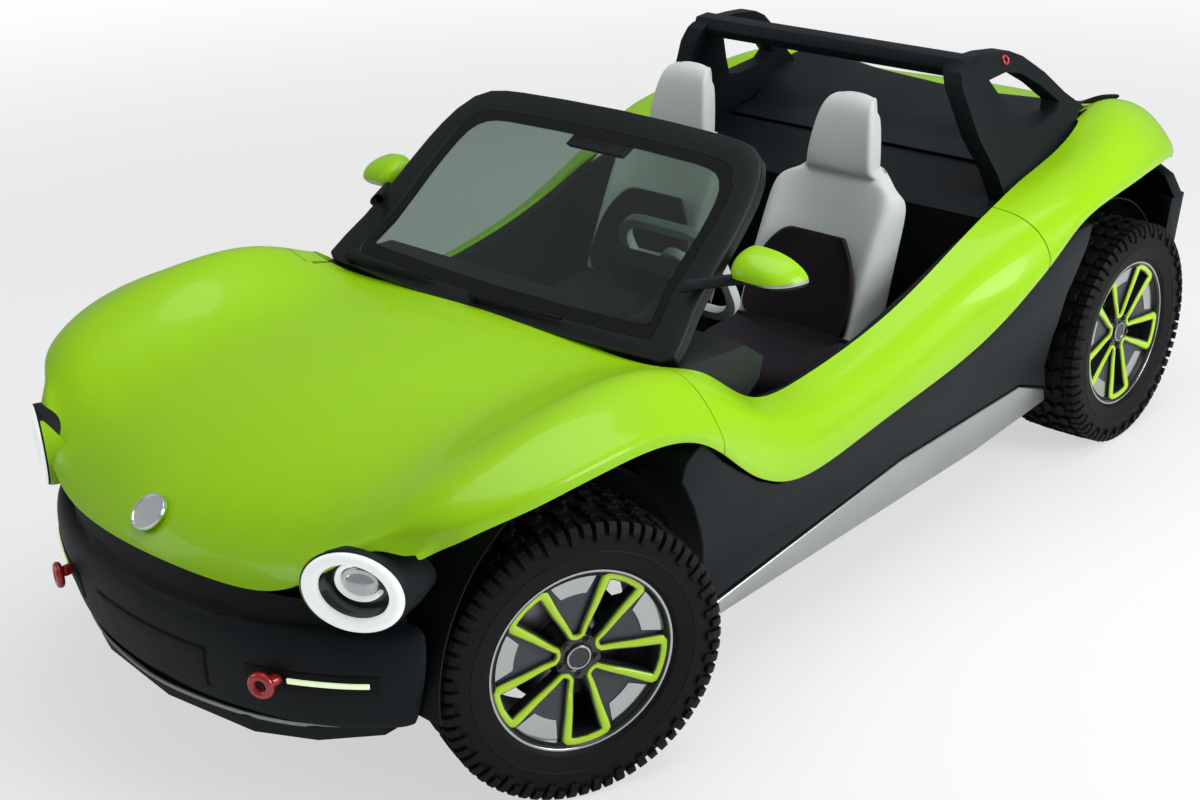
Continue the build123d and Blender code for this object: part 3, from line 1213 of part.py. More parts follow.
with BuildPart() as wipers:
    for start_share, end_share in WIPER_SHARES:
        side = 1 if start_share == WIPER_SHARES[0][0] else -1
        near = Vector(side * at_x(start_share), SCREEN_RAIL + WIPER_BLADE)
        far = Vector(side * at_x(end_share), at_z(WIPER_RISE_SHARE))
        run = far - near
        start = screen_plane.offset(GLASS_THICKNESS / 2 + SEAT_GAP + WIPER_STAND / 2).from_local_coords(near)
        end = screen_plane.offset(GLASS_THICKNESS / 2 + SEAT_GAP + WIPER_STAND / 2).from_local_coords(far)
        with BuildSketch(Plane(start, x_dir=screen_plane.z_dir, z_dir=(end - start).normalized())):
            Rectangle(WIPER_STAND, WIPER_BLADE)
        extrude(amount=run.length)
    add(windscreen_frame.part, mode=Mode.SUBTRACT)
export(wipers.part, "wipers")

# Half shafts: from the motor's ends to the rear knuckles, through the crotch of the arms.
SHAFT_R = 16.0
BOOT_R = 36.0
BOOT_LENGTH = 70.0

with BuildPart() as half_shafts:
    for side in (1, -1):
        start = Vector(side * (MOTOR_LENGTH / 2 + SEAT_GAP), REAR_AXLE_Y, at_z(MOTOR_Z_SHARE))
        end = Vector(side * (HALF_TRACK + bearing_face - BEARING_LENGTH - SEAT_GAP), REAR_AXLE_Y, AXLE_Z)
        run = end - start
        with BuildSketch(Plane(start, z_dir=run.normalized())):
            Circle(SHAFT_R)
        extrude(amount=run.length)
        with BuildSketch(Plane(start, z_dir=run.normalized())):
            Circle(BOOT_R)
        extrude(amount=BOOT_LENGTH)
    add(drive_motor.part, mode=Mode.SUBTRACT)
    add(rear_knuckles.part, mode=Mode.SUBTRACT)
export(half_shafts.part, "half_shafts")
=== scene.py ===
import math
import bpy
from mathutils import Matrix, Vector


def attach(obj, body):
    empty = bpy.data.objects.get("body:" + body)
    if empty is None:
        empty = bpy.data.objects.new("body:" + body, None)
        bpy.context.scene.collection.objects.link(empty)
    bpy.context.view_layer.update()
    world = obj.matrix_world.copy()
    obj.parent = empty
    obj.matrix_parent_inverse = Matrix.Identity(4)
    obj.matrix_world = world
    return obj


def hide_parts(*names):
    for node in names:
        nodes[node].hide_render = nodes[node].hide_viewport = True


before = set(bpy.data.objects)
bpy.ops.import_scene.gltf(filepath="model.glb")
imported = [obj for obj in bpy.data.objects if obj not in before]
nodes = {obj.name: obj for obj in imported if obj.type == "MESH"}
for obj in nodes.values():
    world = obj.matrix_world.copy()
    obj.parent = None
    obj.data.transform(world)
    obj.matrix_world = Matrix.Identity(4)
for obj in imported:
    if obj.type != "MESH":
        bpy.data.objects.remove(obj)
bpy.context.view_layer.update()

# --- Body shells
# The lime body is three moulded, painted composite panels: the hood with both front fenders,
# the low bands along the cabin, and the tail with both rear fenders. They are drawn here as one
# flowing surface and parted at the real seams. The paint is glossy and slightly soft.


def fine_grain_group():
    """Node group: fine moulded grain and a broad soft unevenness, both from object coordinates."""
    group = bpy.data.node_groups.new("fine grain", "ShaderNodeTree")
    sockets = group.interface
    sockets.new_socket("Vector", in_out="INPUT", socket_type="NodeSocketVector")
    sockets.new_socket("Scale", in_out="INPUT", socket_type="NodeSocketFloat")
    sockets.new_socket("Height", in_out="OUTPUT", socket_type="NodeSocketFloat")
    sockets.new_socket("Uneven", in_out="OUTPUT", socket_type="NodeSocketFloat")
    given = group.nodes.new("NodeGroupInput")
    out = group.nodes.new("NodeGroupOutput")
    fine = group.nodes.new("ShaderNodeTexNoise")
    fine.inputs["Detail"].default_value = 3.0
    broad = group.nodes.new("ShaderNodeTexNoise")
    broad.inputs["Scale"].default_value = 4.0
    broad.inputs["Detail"].default_value = 2.0
    group.links.new(given.outputs["Vector"], fine.inputs["Vector"])
    group.links.new(given.outputs["Vector"], broad.inputs["Vector"])
    group.links.new(given.outputs["Scale"], fine.inputs["Scale"])
    group.links.new(fine.outputs["Fac"], out.inputs["Height"])
    group.links.new(broad.outputs["Fac"], out.inputs["Uneven"])
    return group


fine_grain = fine_grain_group()


COAT_ROUGHNESS = 0.06
GRAIN_DEPTH = 0.0006
SMOOTHEST = 0.02
# Places of the colour sockets on a Mix node.
LOW_COLOUR, HIGH_COLOUR, MIXED_COLOUR = 6, 7, 2


def finish_material(
    name, colour, roughness, metallic=0.0, coat=0.0, scale=300.0, bump=0.0, uneven=0.06, tint=0.1, specular=0.5,
    glow=0.0, glow_colour=(1, 1, 1, 1), clear=0.0,
):
    """Principled material whose roughness and shade drift softly and whose normal has a fine grain."""
    material = bpy.data.materials.new(name)
    material.use_nodes = True
    tree = material.node_tree
    shader = tree.nodes["Principled BSDF"]
    for socket, value in (
        ("Metallic", metallic), ("Coat Weight", coat), ("Coat Roughness", COAT_ROUGHNESS),
        ("Specular IOR Level", specular), ("Emission Color", glow_colour), ("Emission Strength", glow),
        ("Transmission Weight", clear),
    ):
        shader.inputs[socket].default_value = value
    place = tree.nodes.new("ShaderNodeTexCoord")
    grain = tree.nodes.new("ShaderNodeGroup")
    grain.node_tree = fine_grain
    grain.inputs["Scale"].default_value = scale
    tree.links.new(place.outputs["Object"], grain.inputs["Vector"])
    rough = tree.nodes.new("ShaderNodeMapRange")
    rough.inputs["To Min"].default_value = max(roughness - uneven, SMOOTHEST)
    rough.inputs["To Max"].default_value = roughness + uneven
    tree.links.new(grain.outputs["Uneven"], rough.inputs["Value"])
    tree.links.new(rough.outputs["Result"], shader.inputs["Roughness"])
    shade = tree.nodes.new("ShaderNodeMix")
    shade.data_type = "RGBA"
    shade.inputs[LOW_COLOUR].default_value = (*[c * (1 - tint) for c in colour], 1)
    shade.inputs[HIGH_COLOUR].default_value = (*[min(c * (1 + tint), 1) for c in colour], 1)
    tree.links.new(grain.outputs["Uneven"], shade.inputs[0])
    tree.links.new(shade.outputs[MIXED_COLOUR], shader.inputs["Base Color"])
    if bump:
        relief = tree.nodes.new("ShaderNodeBump")
        relief.inputs["Strength"].default_value = bump
        relief.inputs["Distance"].default_value = GRAIN_DEPTH
        tree.links.new(grain.outputs["Height"], relief.inputs["Height"])
        tree.links.new(relief.outputs["Normal"], shader.inputs["Normal"])
    return material


lime_paint = finish_material("lime paint", (0.32, 0.64, 0.002), 0.36, coat=0.22, uneven=0.02, tint=0.03, specular=0.22)


def deselect_all():
    """Leaves edit mode and clears the selection."""
    if bpy.context.object and bpy.context.object.mode != "OBJECT":
        bpy.ops.object.mode_set(mode="OBJECT")
    bpy.ops.object.select_all(action="DESELECT")


def pick(*objs):
    """Selects these objects only, the first of them active."""
    deselect_all()
    for obj in objs:
        obj.select_set(True)
    bpy.context.view_layer.objects.active = objs[0]


def use(obj, kind, **settings):
    """Adds one modifier, sets it and applies it."""
    pick(obj)
    modifier = obj.modifiers.new(kind.lower(), kind)
    for key, value in settings.items():
        setattr(modifier, key, value)
    bpy.ops.object.modifier_apply(modifier=modifier.name)


def round_edges(obj, width, segments=3, above=40.0):
    """Rounds every edge that is sharper than an angle in degrees."""
    use(obj, "BEVEL", width=width, segments=segments, limit_method="ANGLE", angle_limit=math.radians(above))


def smooth(obj, degrees=40.0):
    """Smooth shading with hard edges above an angle."""
    pick(obj)
    bpy.ops.object.shade_smooth_by_angle(angle=math.radians(degrees))


def edit_all(obj):
    """Opens a mesh in edit mode with all of it selected."""
    pick(obj)
    bpy.ops.object.mode_set(mode="EDIT")
    bpy.ops.mesh.select_all(action="SELECT")


def copied(source, name):
    """A copy of an object with its own mesh."""
    copy = source.copy()
    copy.data = source.data.copy()
    copy.name = name
    bpy.context.scene.collection.objects.link(copy)
    return copy


ONE_PLACE = 0.00005


def outwards(obj):
    """Merges doubles and turns every face outwards."""
    edit_all(obj)
    bpy.ops.mesh.remove_doubles(threshold=ONE_PLACE)
    bpy.ops.mesh.normals_make_consistent(inside=False)
    bpy.ops.object.mode_set(mode="OBJECT")


def sheet_of_rows(name, rows):
    """A grid with one line of points per row, each point (x, y, z)."""
    deselect_all()
    across = len(rows[0])
    along = len(rows)
    bpy.ops.mesh.primitive_grid_add(x_subdivisions=across - 1, y_subdivisions=along - 1, size=2)
    obj = bpy.context.object
    obj.name = name
    for point in obj.data.vertices:
        column = round((point.co.x + 1) / 2 * (across - 1))
        row = round((point.co.y + 1) / 2 * (along - 1))
        point.co = Vector(rows[row][column])
    return obj


def wear(obj, material):
    """Gives a piece its material."""
    obj.data.materials.clear()
    obj.data.materials.append(material)


def bisected(source, name, low, high):
    """The part of a mesh between two places along the car."""
    copy = copied(source, name)
    for place, side in ((low, 1), (high, -1)):
        edit_all(copy)
        bpy.ops.mesh.bisect(plane_co=(0, place, 0), plane_no=(0, side, 0), clear_inner=True)
        bpy.ops.object.mode_set(mode="OBJECT")
    return copy


# Each station's points run from the middle out to the lip: middle, valley, crest, shoulder and lip
# foot. The nose's two have one more beside the middle and one on the slope. None is the opening.
BODY_STATIONS = (
    (
        (0, -2.021, 0.7), (0.24, -1.986, 0.682), (0.433, -1.935, 0.677), (0.545, -1.897, 0.758),
        (0.64, -1.837, 0.829), (0.725, -1.778, 0.815), (0.742, -1.762, 0.8),
    ),
    (
        (0, -2.006, 0.726), (0.238, -1.972, 0.712), (0.433, -1.921, 0.712), (0.553, -1.877, 0.792),
        (0.648, -1.815, 0.857), (0.748, -1.748, 0.848), (0.766, -1.724, 0.822),
    ),
    ((0, -1.956, 0.773), (0.43, -1.881, 0.758), (0.652, -1.792, 0.862), (0.785, -1.732, 0.882), (0.808, -1.698, 0.844)),
    ((0, -1.887, 0.811), (0.432, -1.827, 0.798), (0.655, -1.746, 0.896), (0.805, -1.692, 0.91), (0.838, -1.665, 0.865)),
    (
        (0, -1.806, 0.842), (0.436, -1.756, 0.831), (0.668, -1.692, 0.929), (0.824, -1.637, 0.933),
        (0.868, -1.611, 0.882),
    ),
    ((0, -1.696, 0.872), (0.442, -1.657, 0.861), (0.685, -1.601, 0.958), (0.845, -1.556, 0.957), (0.903, -1.536, 0.9)),
    ((0, -1.56, 0.9), (0.449, -1.536, 0.886), (0.698, -1.496, 0.982), (0.86, -1.456, 0.976), (0.926, -1.437, 0.918)),
    ((0, -1.387, 0.922), (0.457, -1.377, 0.905), (0.711, -1.361, 1.012), (0.868, -1.347, 0.99), (0.938, -1.337, 0.926)),
    ((0, -1.206, 0.935), (0.465, -1.206, 0.916), (0.722, -1.206, 1.03), (0.874, -1.206, 0.992), (0.942, -1.206, 0.928)),
    ((0, -1.077, 0.941), (0.472, -1.077, 0.92), (0.732, -1.077, 1.034), (0.878, -1.077, 0.982), (0.942, -1.077, 0.909)),
    ((0, -0.962, 0.943), (0.478, -0.967, 0.921), (0.742, -0.977, 1.02), (0.878, -0.977, 0.958), (0.937, -0.977, 0.864)),
    ((0, -0.867, 0.943), (0.484, -0.881, 0.92), (0.752, -0.886, 0.992), (0.877, -0.886, 0.919), (0.927, -0.886, 0.796)),
    ((0, -0.771, 0.941), (0.49, -0.801, 0.919), (0.757, -0.812, 0.96), (0.877, -0.812, 0.872), (0.916, -0.812, 0.73)),
    (None, None, (0.758, -0.737, 0.917), (0.877, -0.737, 0.812), (0.905, -0.737, 0.669)),
    (None, None, (0.752, -0.646, 0.844), (0.874, -0.646, 0.749), (0.894, -0.646, 0.616)),
    (None, None, (0.747, -0.556, 0.782), (0.872, -0.556, 0.706), (0.885, -0.556, 0.579)),
    (None, None, (0.746, -0.457, 0.758), (0.872, -0.457, 0.682), (0.88, -0.457, 0.563)),
    (None, None, (0.747, -0.337, 0.764), (0.874, -0.337, 0.682), (0.879, -0.337, 0.569)),
    (None, None, (0.75, -0.157, 0.784), (0.876, -0.157, 0.702), (0.88, -0.157, 0.594)),
    (None, None, (0.751, 0.024, 0.814), (0.88, 0.024, 0.727), (0.881, 0.024, 0.615)),
    (None, None, (0.751, 0.194, 0.856), (0.886, 0.194, 0.764), (0.882, 0.194, 0.633)),
    (None, None, (0.751, 0.358, 0.914), (0.896, 0.358, 0.816), (0.892, 0.358, 0.669)),
    (None, None, (0.75, 0.483, 0.957), (0.907, 0.483, 0.866), (0.924, 0.483, 0.744)),
    (None, None, (0.742, 0.604, 0.986), (0.912, 0.604, 0.916), (0.936, 0.604, 0.81)),
    (None, None, (0.728, 0.704, 0.999), (0.91, 0.704, 0.958), (0.939, 0.704, 0.856)),
    (None, None, (0.714, 0.803, 1.014), (0.904, 0.803, 0.996), (0.943, 0.803, 0.922)),
    (None, None, (0.705, 0.903, 1.028), (0.896, 0.903, 1.026), (0.945, 0.903, 0.958)),
    (None, None, (0.7, 1.044, 1.048), (0.886, 1.044, 1.052), (0.942, 1.044, 0.971)),
    (None, None, (0.691, 1.183, 1.078), (0.874, 1.183, 1.074), (0.929, 1.183, 0.971)),
    ((0, 1.319, 0.999), (0.48, 1.323, 1.034), (0.668, 1.329, 1.126), (0.856, 1.329, 1.094), (0.909, 1.329, 0.971)),
    ((0, 1.474, 1.014), (0.47, 1.474, 1.052), (0.645, 1.474, 1.152), (0.822, 1.474, 1.086), (0.884, 1.474, 0.963)),
    ((0, 1.603, 1.016), (0.46, 1.603, 1.048), (0.628, 1.603, 1.123), (0.79, 1.603, 1.059), (0.85, 1.603, 0.946)),
    ((0, 1.724, 1.012), (0.45, 1.724, 1.03), (0.614, 1.724, 1.08), (0.748, 1.724, 1.014), (0.8, 1.724, 0.907)),
    ((0, 1.833, 1.006), (0.44, 1.833, 1.008), (0.6, 1.833, 1.03), (0.708, 1.823, 0.962), (0.75, 1.823, 0.872)),
    ((0, 1.923, 0.996), (0.425, 1.923, 0.982), (0.575, 1.915, 0.979), (0.672, 1.893, 0.919), (0.706, 1.889, 0.846)),
    ((0, 1.994, 0.976), (0.4, 1.984, 0.952), (0.54, 1.964, 0.939), (0.63, 1.933, 0.886), (0.655, 1.923, 0.826)),
    ((0, 2.027, 0.939), (0.38, 2.011, 0.909), (0.5, 1.988, 0.894), (0.585, 1.952, 0.849), (0.605, 1.942, 0.806)),
    ((0, 2.03, 0.886), (0.37, 2.011, 0.859), (0.488, 1.99, 0.842), (0.566, 1.952, 0.82), (0.58, 1.942, 0.794)),
)
OPENING = (12, 29)
OPENING_COLUMNS = 4
COLUMNS = 8
SHELL_WALL = 0.012


def between(a, b, share, lift=0.0):
    """Point at a share of the way from a to b, lifted straight up."""
    return tuple(p + (q - p) * share + r * lift for p, q, r in zip(a, b, (0, 0, 1)))


NOSE_BULGE = 0.012
NOSE_BRIM = (0.006, 0.030)
BRIM = (0.008, 0.036)
BEND_SHARE = 0.55
CREST_ROUNDING = 0.2
HOOD_BULGE = 0.004
VALLEY_HOLLOW = -0.012


def full_row(station):
    """Nine points across half the body from the five or seven that a station names."""
    if len(station) == 7:
        middle, inner, valley, slope, crest, shoulder, foot = station
        return (
            middle, inner, valley, slope, crest, between(crest, shoulder, BEND_SHARE, NOSE_BULGE), shoulder,
            (foot[0] + NOSE_BRIM[0], foot[1], foot[2] + NOSE_BRIM[1]), foot,
        )
    middle, valley, crest, shoulder, foot = station
    if middle is None:
        middle, valley = (0, crest[1], crest[2]), between((0, crest[1], crest[2]), crest, 0.6)
    brim = (foot[0] + BRIM[0], foot[1], foot[2] + BRIM[1])
    rounding = CREST_ROUNDING * math.hypot(shoulder[0] - crest[0], shoulder[2] - crest[2])
    return (
        middle, between(middle, valley, 0.5, HOOD_BULGE), valley, between(valley, crest, BEND_SHARE, VALLEY_HOLLOW),
        crest, between(crest, shoulder, BEND_SHARE, rounding * 0.6), shoulder, brim, foot,
    )


body_skin = sheet_of_rows("body_skin", [full_row(station) for station in BODY_STATIONS])
pick(body_skin)
bpy.ops.object.mode_set(mode="EDIT")
bpy.ops.mesh.select_mode(type="FACE")
bpy.ops.mesh.select_all(action="DESELECT")
bpy.ops.object.mode_set(mode="OBJECT")
for face in body_skin.data.polygons:
    column, row = face.index % COLUMNS, face.index // COLUMNS
    face.select = OPENING[0] <= row < OPENING[1] and column < OPENING_COLUMNS
bpy.ops.object.mode_set(mode="EDIT")
bpy.ops.mesh.delete(type="FACE")
bpy.ops.object.mode_set(mode="OBJECT")
use(body_skin, "MIRROR", use_axis=(True, False, False), merge_threshold=0.0005, use_clip=True)
outwards(body_skin)
use(body_skin, "SUBSURF", levels=3, render_levels=3)

LAMP_CENTRES = ((0.635, -1.871, 0.729), (-0.635, -1.871, 0.729))
LAMP_TOE = math.radians(26)
LAMP_RING_R = 0.131
LAMP_SQUAT = 0.81


def settle(obj):
    """Puts an object's place into its mesh."""
    pick(obj)
    bpy.ops.object.transform_apply(location=True, rotation=True, scale=True)


def lamp_cylinder(side, radius, depth, middle, vertices):
    """Cylinder on a headlamp's axis, its middle at a distance in front of the lamp's face."""
    toe = Vector((side * math.sin(LAMP_TOE), -math.cos(LAMP_TOE), 0))
    centre = Vector(LAMP_CENTRES[0 if side > 0 else 1]) + toe * middle
    turn = toe.to_track_quat("Z", "Y").to_euler()
    bpy.ops.mesh.primitive_cylinder_add(
        radius=radius, depth=depth, location=centre, rotation=turn, vertices=vertices,
    )
    tool = bpy.context.object
    settle(tool)
    for point in tool.data.vertices:
        point.co.z = centre.z + (point.co.z - centre.z) * LAMP_SQUAT
    return tool


def cut(obj, tool):
    """Takes one mesh out of another and removes the tool."""
    use(obj, "BOOLEAN", operation="DIFFERENCE", solver="EXACT", object=tool)
    bpy.data.objects.remove(tool)


LAMP_CUT_CLEARANCE = 0.003
LAMP_CUT_DEPTH = 0.22
LAMP_CUT_MIDDLE = 0.085
LAMP_CUT_SIDES = 96
SEAM_HALF = 0.002
FRONT_SEAM = -0.891
REAR_SEAM = 0.665
COWL_HALF = 0.66
COWL_END = -0.597
AHEAD, BEHIND = -2.2, 2.094
for name, low, high, node in (
    ("hood_and_fenders", AHEAD, FRONT_SEAM - SEAM_HALF, "front_shell"),
    ("cabin_bands", FRONT_SEAM + SEAM_HALF, REAR_SEAM - SEAM_HALF, "side_shells"),
    ("tail_and_fenders", REAR_SEAM + SEAM_HALF, BEHIND, "rear_shell"),
):
    panel = bisected(body_skin, name, low, COWL_END if node == "front_shell" else high)
    if node != "rear_shell":
        pick(panel)
        for flip in (1, -1):
            bpy.ops.object.mode_set(mode="EDIT")
            bpy.ops.mesh.select_all(action="SELECT")
            bpy.ops.mesh.bisect(plane_co=(flip * COWL_HALF, 0, 0), plane_no=(1, 0, 0))
            bpy.ops.mesh.select_mode(type="FACE")
            bpy.ops.mesh.select_all(action="DESELECT")
            bpy.ops.object.mode_set(mode="OBJECT")
        for face in panel.data.polygons:
            outside = abs(face.center.x) > COWL_HALF
            face.select = outside if node == "front_shell" else not outside and face.center.y < COWL_END
        bpy.ops.object.mode_set(mode="EDIT")
        if node == "front_shell":
            bpy.ops.mesh.bisect(plane_co=(0, high, 0), plane_no=(0, 1, 0), clear_outer=True)
        else:
            bpy.ops.mesh.delete(type="FACE")
        bpy.ops.object.mode_set(mode="OBJECT")
    use(panel, "SOLIDIFY", thickness=SHELL_WALL, offset=-1.0)
    if node == "front_shell":
        for side in (1, -1):
            deselect_all()
            cut(panel, lamp_cylinder(
                side, LAMP_RING_R + LAMP_CUT_CLEARANCE, LAMP_CUT_DEPTH, LAMP_CUT_MIDDLE, LAMP_CUT_SIDES,
            ))
    smooth(panel)
    wear(panel, lime_paint)
    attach(panel, "chassis")
    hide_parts(node)
bpy.data.objects.remove(body_skin)

# --- Dark mouldings
# The flanks, skid plate, rear bumper and panel, roll bar and rear deck are moulded in a dark
# blue-grey plastic with a fine grain, their edges softly rounded where the tool parts. The mask
# behind the front bumper is black as painted shade, so that its gaps look deep and shadowed.

dark_plastic = finish_material(
    "dark moulding", (0.0085, 0.0120, 0.0140), 0.5, scale=900.0, bump=0.25, uneven=0.07, specular=0.12,
)

# Black plastic for the wipers; where it lines the mask, gaps and recesses of the nose it is painted shade.
black_and_painted_gap_shade = finish_material("black and painted gap shade", (0.003, 0.0035, 0.004), 0.6, scale=300.0, uneven=0.05, specular=0.15)


def dressed(node, material, round_by, body="chassis"):
    """A merged copy of a CAD piece with its edges rounded, worn in place of it."""
    copy = copied(nodes[node], node + "_finished")
    for key in list(copy.keys()):
        if key.startswith("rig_"):
            del copy[key]
    copy.parent = None
    edit_all(copy)
    bpy.ops.mesh.remove_doubles(threshold=ONE_PLACE)
    bpy.ops.mesh.dissolve_limited(angle_limit=math.radians(1.0))
    bpy.ops.object.mode_set(mode="OBJECT")
    round_edges(copy, round_by, above=30.0)
    smooth(copy)
    wear(copy, material)
    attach(copy, body)
    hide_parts(node)
    return copy


# The front mask wears black as painted shade for the gaps behind the bumper.
mouldings = {}
for node, look, rounding in (
    ("flanks", dark_plastic, 0.006), ("front_skid", dark_plastic, 0.006), ("rear_bumper", dark_plastic, 0.012),
    ("roll_bar", dark_plastic, 0.014), ("rear_deck", dark_plastic, 0.004), ("front_mask", black_and_painted_gap_shade, 0.003),
    ("tail_lamps", dark_plastic, 0.004), ("rear_panel", dark_plastic, 0.002), ("interior_mirror", dark_plastic, 0.012),
):
    mouldings[node] = dressed(node, look, rounding)
# Under the hood's lip the mask steps down and back.
MASK_HALF = 0.47
MASK_TOP = 0.64
MASK_STEP = 0.03
for point in mouldings["front_mask"].data.vertices:
    if abs(point.co.x) < MASK_HALF and point.co.z > MASK_TOP:
        point.co.z, point.co.y = MASK_TOP, point.co.y + MASK_STEP
# The interior mirror is a low one, hung from its top.
MIRROR_SHARE = 0.6
mirror_points = mouldings["interior_mirror"].data.vertices
mirror_top = max(point.co.z for point in mirror_points)
for point in mirror_points:
    point.co.z = mirror_top - (mirror_top - point.co.z) * MIRROR_SHARE

# --- Rockers
# The sills are brushed aluminium skins, pressed and clipped over the lower edge of the body
# between the wheels.

brushed = finish_material("brushed aluminium", (0.44, 0.46, 0.46), 0.34, metallic=1.0, scale=120.0, uneven=0.08)
dressed("rockers", brushed, 0.005)

# --- Tyres
# All-terrain tyres: a moulded carcass with a rim protector, two zigzag rows of centre blocks, a
# row beside each, and long and short lugs that wrap over both shoulders.

rubber = finish_material(
    "tyre rubber", (0.0065, 0.0065, 0.007), 0.56, scale=420.0, bump=0.35, uneven=0.1, tint=0.25, specular=0.14,
)


def spun(name, profile, steps):
    """A closed outline of (x, r) points turned once about the X axis."""
    deselect_all()
    bpy.ops.mesh.primitive_circle_add(vertices=len(profile), radius=1)
    obj = bpy.context.object
    obj.name = name
    for point, (x, r) in zip(obj.data.vertices, profile):
        point.co = (x, 0, r)
    edit_all(obj)
    bpy.ops.mesh.spin(steps=steps, angle=math.tau, center=(0, 0, 0), axis=(1, 0, 0))
    bpy.ops.object.mode_set(mode="OBJECT")
    outwards(obj)
    return obj


def joined(*objs):
    """One object from several."""
    pick(*objs)
    bpy.ops.object.join()
    return bpy.context.object


def turned_copies(obj, count):
    """The object repeated evenly about the X axis, as one mesh."""
    copies = [obj]
    for number in range(1, count):
        copy = copied(obj, obj.name)
        copy.data.transform(Matrix.Rotation(math.tau * number / count, 4, Vector((1, 0, 0))))
        copies.append(copy)
    return joined(*copies)


TYRE_R = 0.383
TREAD_FOOT_R = 0.3705
TREAD_SUNK = 0.004
PITCHES = 34
PITCH_LENGTH = math.tau * TYRE_R / PITCHES
CENTRE_BLOCK = (
    (-0.041, 0.008), (-0.022, 0.0), (-0.005, 0.012), (-0.011, 0.029), (-0.003, 0.046), (-0.022, 0.054),
    (-0.029, 0.039), (-0.044, 0.034),
)
SIDE_BLOCK = (
    (-0.086, 0.012), (-0.070, 0.001), (-0.050, 0.008), (-0.048, 0.026), (-0.055, 0.045), (-0.067, 0.053),
    (-0.090, 0.044), (-0.081, 0.028),
)
SHOULDER_BLOCKS = (
    ((-0.121, 0.003), (-0.097, 0.0), (-0.092, 0.014), (-0.096, 0.029), (-0.121, 0.031)),
    ((-0.121, 0.039), (-0.098, 0.036), (-0.095, 0.050), (-0.097, 0.064), (-0.121, 0.066)),
)
LUG_LINES = (
    ((-0.118, 0.3775), (-0.1270, 0.3670), (-0.1316, 0.3520), (-0.1325, 0.3340)),
    ((-0.118, 0.3775), (-0.1265, 0.3680), (-0.1305, 0.3590), (-0.1318, 0.3500)),
)
BLOCK_TAPER = 0.9
LUG_THICKNESS = 0.011
LUG_CLEARANCE = 0.002
CROWN_FLAT = 0.045
CROWN_WIDTH = 0.064
CROWN_DROP = 0.0034


def crown(x):
    """Radius of the tread surface at a place across the tyre."""
    beyond = max(abs(x) - CROWN_FLAT, 0.0)
    return TYRE_R - CROWN_DROP * (beyond / CROWN_WIDTH) ** 2


def tread_block(outline, flip):
    """One block from its plan outline, on one side of the tyre, still flat."""
    side, shift = (-1, PITCH_LENGTH / 2) if flip else (1, 0)
    deselect_all()
    bpy.ops.mesh.primitive_circle_add(vertices=len(outline), radius=1, fill_type="NGON")
    obj = bpy.context.object
    for point, (x, along) in zip(obj.data.vertices, outline):
        point.co = (side * x, along + shift, TREAD_FOOT_R - TREAD_SUNK)
    middle = sum((point.co for point in obj.data.vertices), Vector()) / len(outline)
    bpy.ops.object.mode_set(mode="EDIT")
    bpy.ops.mesh.select_all(action="SELECT")
    bpy.ops.mesh.extrude_region_move(TRANSFORM_OT_translate={"value": (0, 0, TYRE_R - TREAD_FOOT_R + TREAD_SUNK)})
    bpy.ops.transform.resize(value=(BLOCK_TAPER, BLOCK_TAPER, 1), center_override=middle)
    bpy.ops.object.mode_set(mode="OBJECT")
    for point in obj.data.vertices:
        if point.co.z > TREAD_FOOT_R:
            point.co.z = crown(point.co.x)
    return obj


def shoulder_lug(line, start, end, flip):
    """A lug that lies over the shoulder and down the sidewall, still flat along the tyre."""
    side, shift = (-1, PITCH_LENGTH / 2) if flip else (1, 0)
    lug = sheet_of_rows("lug", [[(side * x, s + shift, r) for s in (start, end)] for x, r in line])
    outwards(lug)
    use(lug, "SOLIDIFY", thickness=LUG_THICKNESS, offset=0.0)
    return lug


pieces = []
for flip in (False, True):
    pieces.append(tread_block(CENTRE_BLOCK, flip))
    pieces.append(tread_block(SIDE_BLOCK, flip))
    for outline, line in zip(SHOULDER_BLOCKS, LUG_LINES):
        pieces.append(tread_block(outline, flip))
        pieces.append(shoulder_lug(line, outline[0][1] + LUG_CLEARANCE, outline[-1][1] - LUG_CLEARANCE, flip))
pitch = joined(*pieces)
round_edges(pitch, 0.0014, 1)
for point in pitch.data.vertices:
    x, along, r = point.co
    point.co = (x, r * math.sin(along / TYRE_R), r * math.cos(along / TYRE_R))
outwards(pitch)
tread = turned_copies(pitch, PITCHES)
CARCASS = (
    (0.1037, 0.2300), (0.1105, 0.2490), (0.1150, 0.2560), (0.1205, 0.2600), (0.1225, 0.2680), (0.1265, 0.2840),
    (0.1290, 0.3000), (0.1308, 0.3020), (0.1308, 0.3050), (0.1295, 0.3070), (0.1295, 0.3350), (0.1262, 0.3530),
    (0.1190, 0.3640), (0.1060, 0.3695), (0.0500, 0.3710),
)
CARCASS_INSIDE = ((0.0600, 0.3600), (0.1080, 0.3500), (0.1140, 0.3100), (0.0960, 0.2680), (0.0820, 0.2300))
half = list(CARCASS_INSIDE[::-1])
profile = list(CARCASS) + [(-x, r) for x, r in reversed(CARCASS)]
profile += [(-x, r) for x, r in half] + half[::-1]
carcass = spun("carcass", profile, 96)
smooth(carcass, 30)
tyre = joined(carcass, tread)
tyre.name = "tyre"

# --- Rims
# Cast alloy rims in satin black. Five windows are rimmed by one continuous lime line that turns
# back at the hub between them, over recessed plates with a bright panel at the lip.

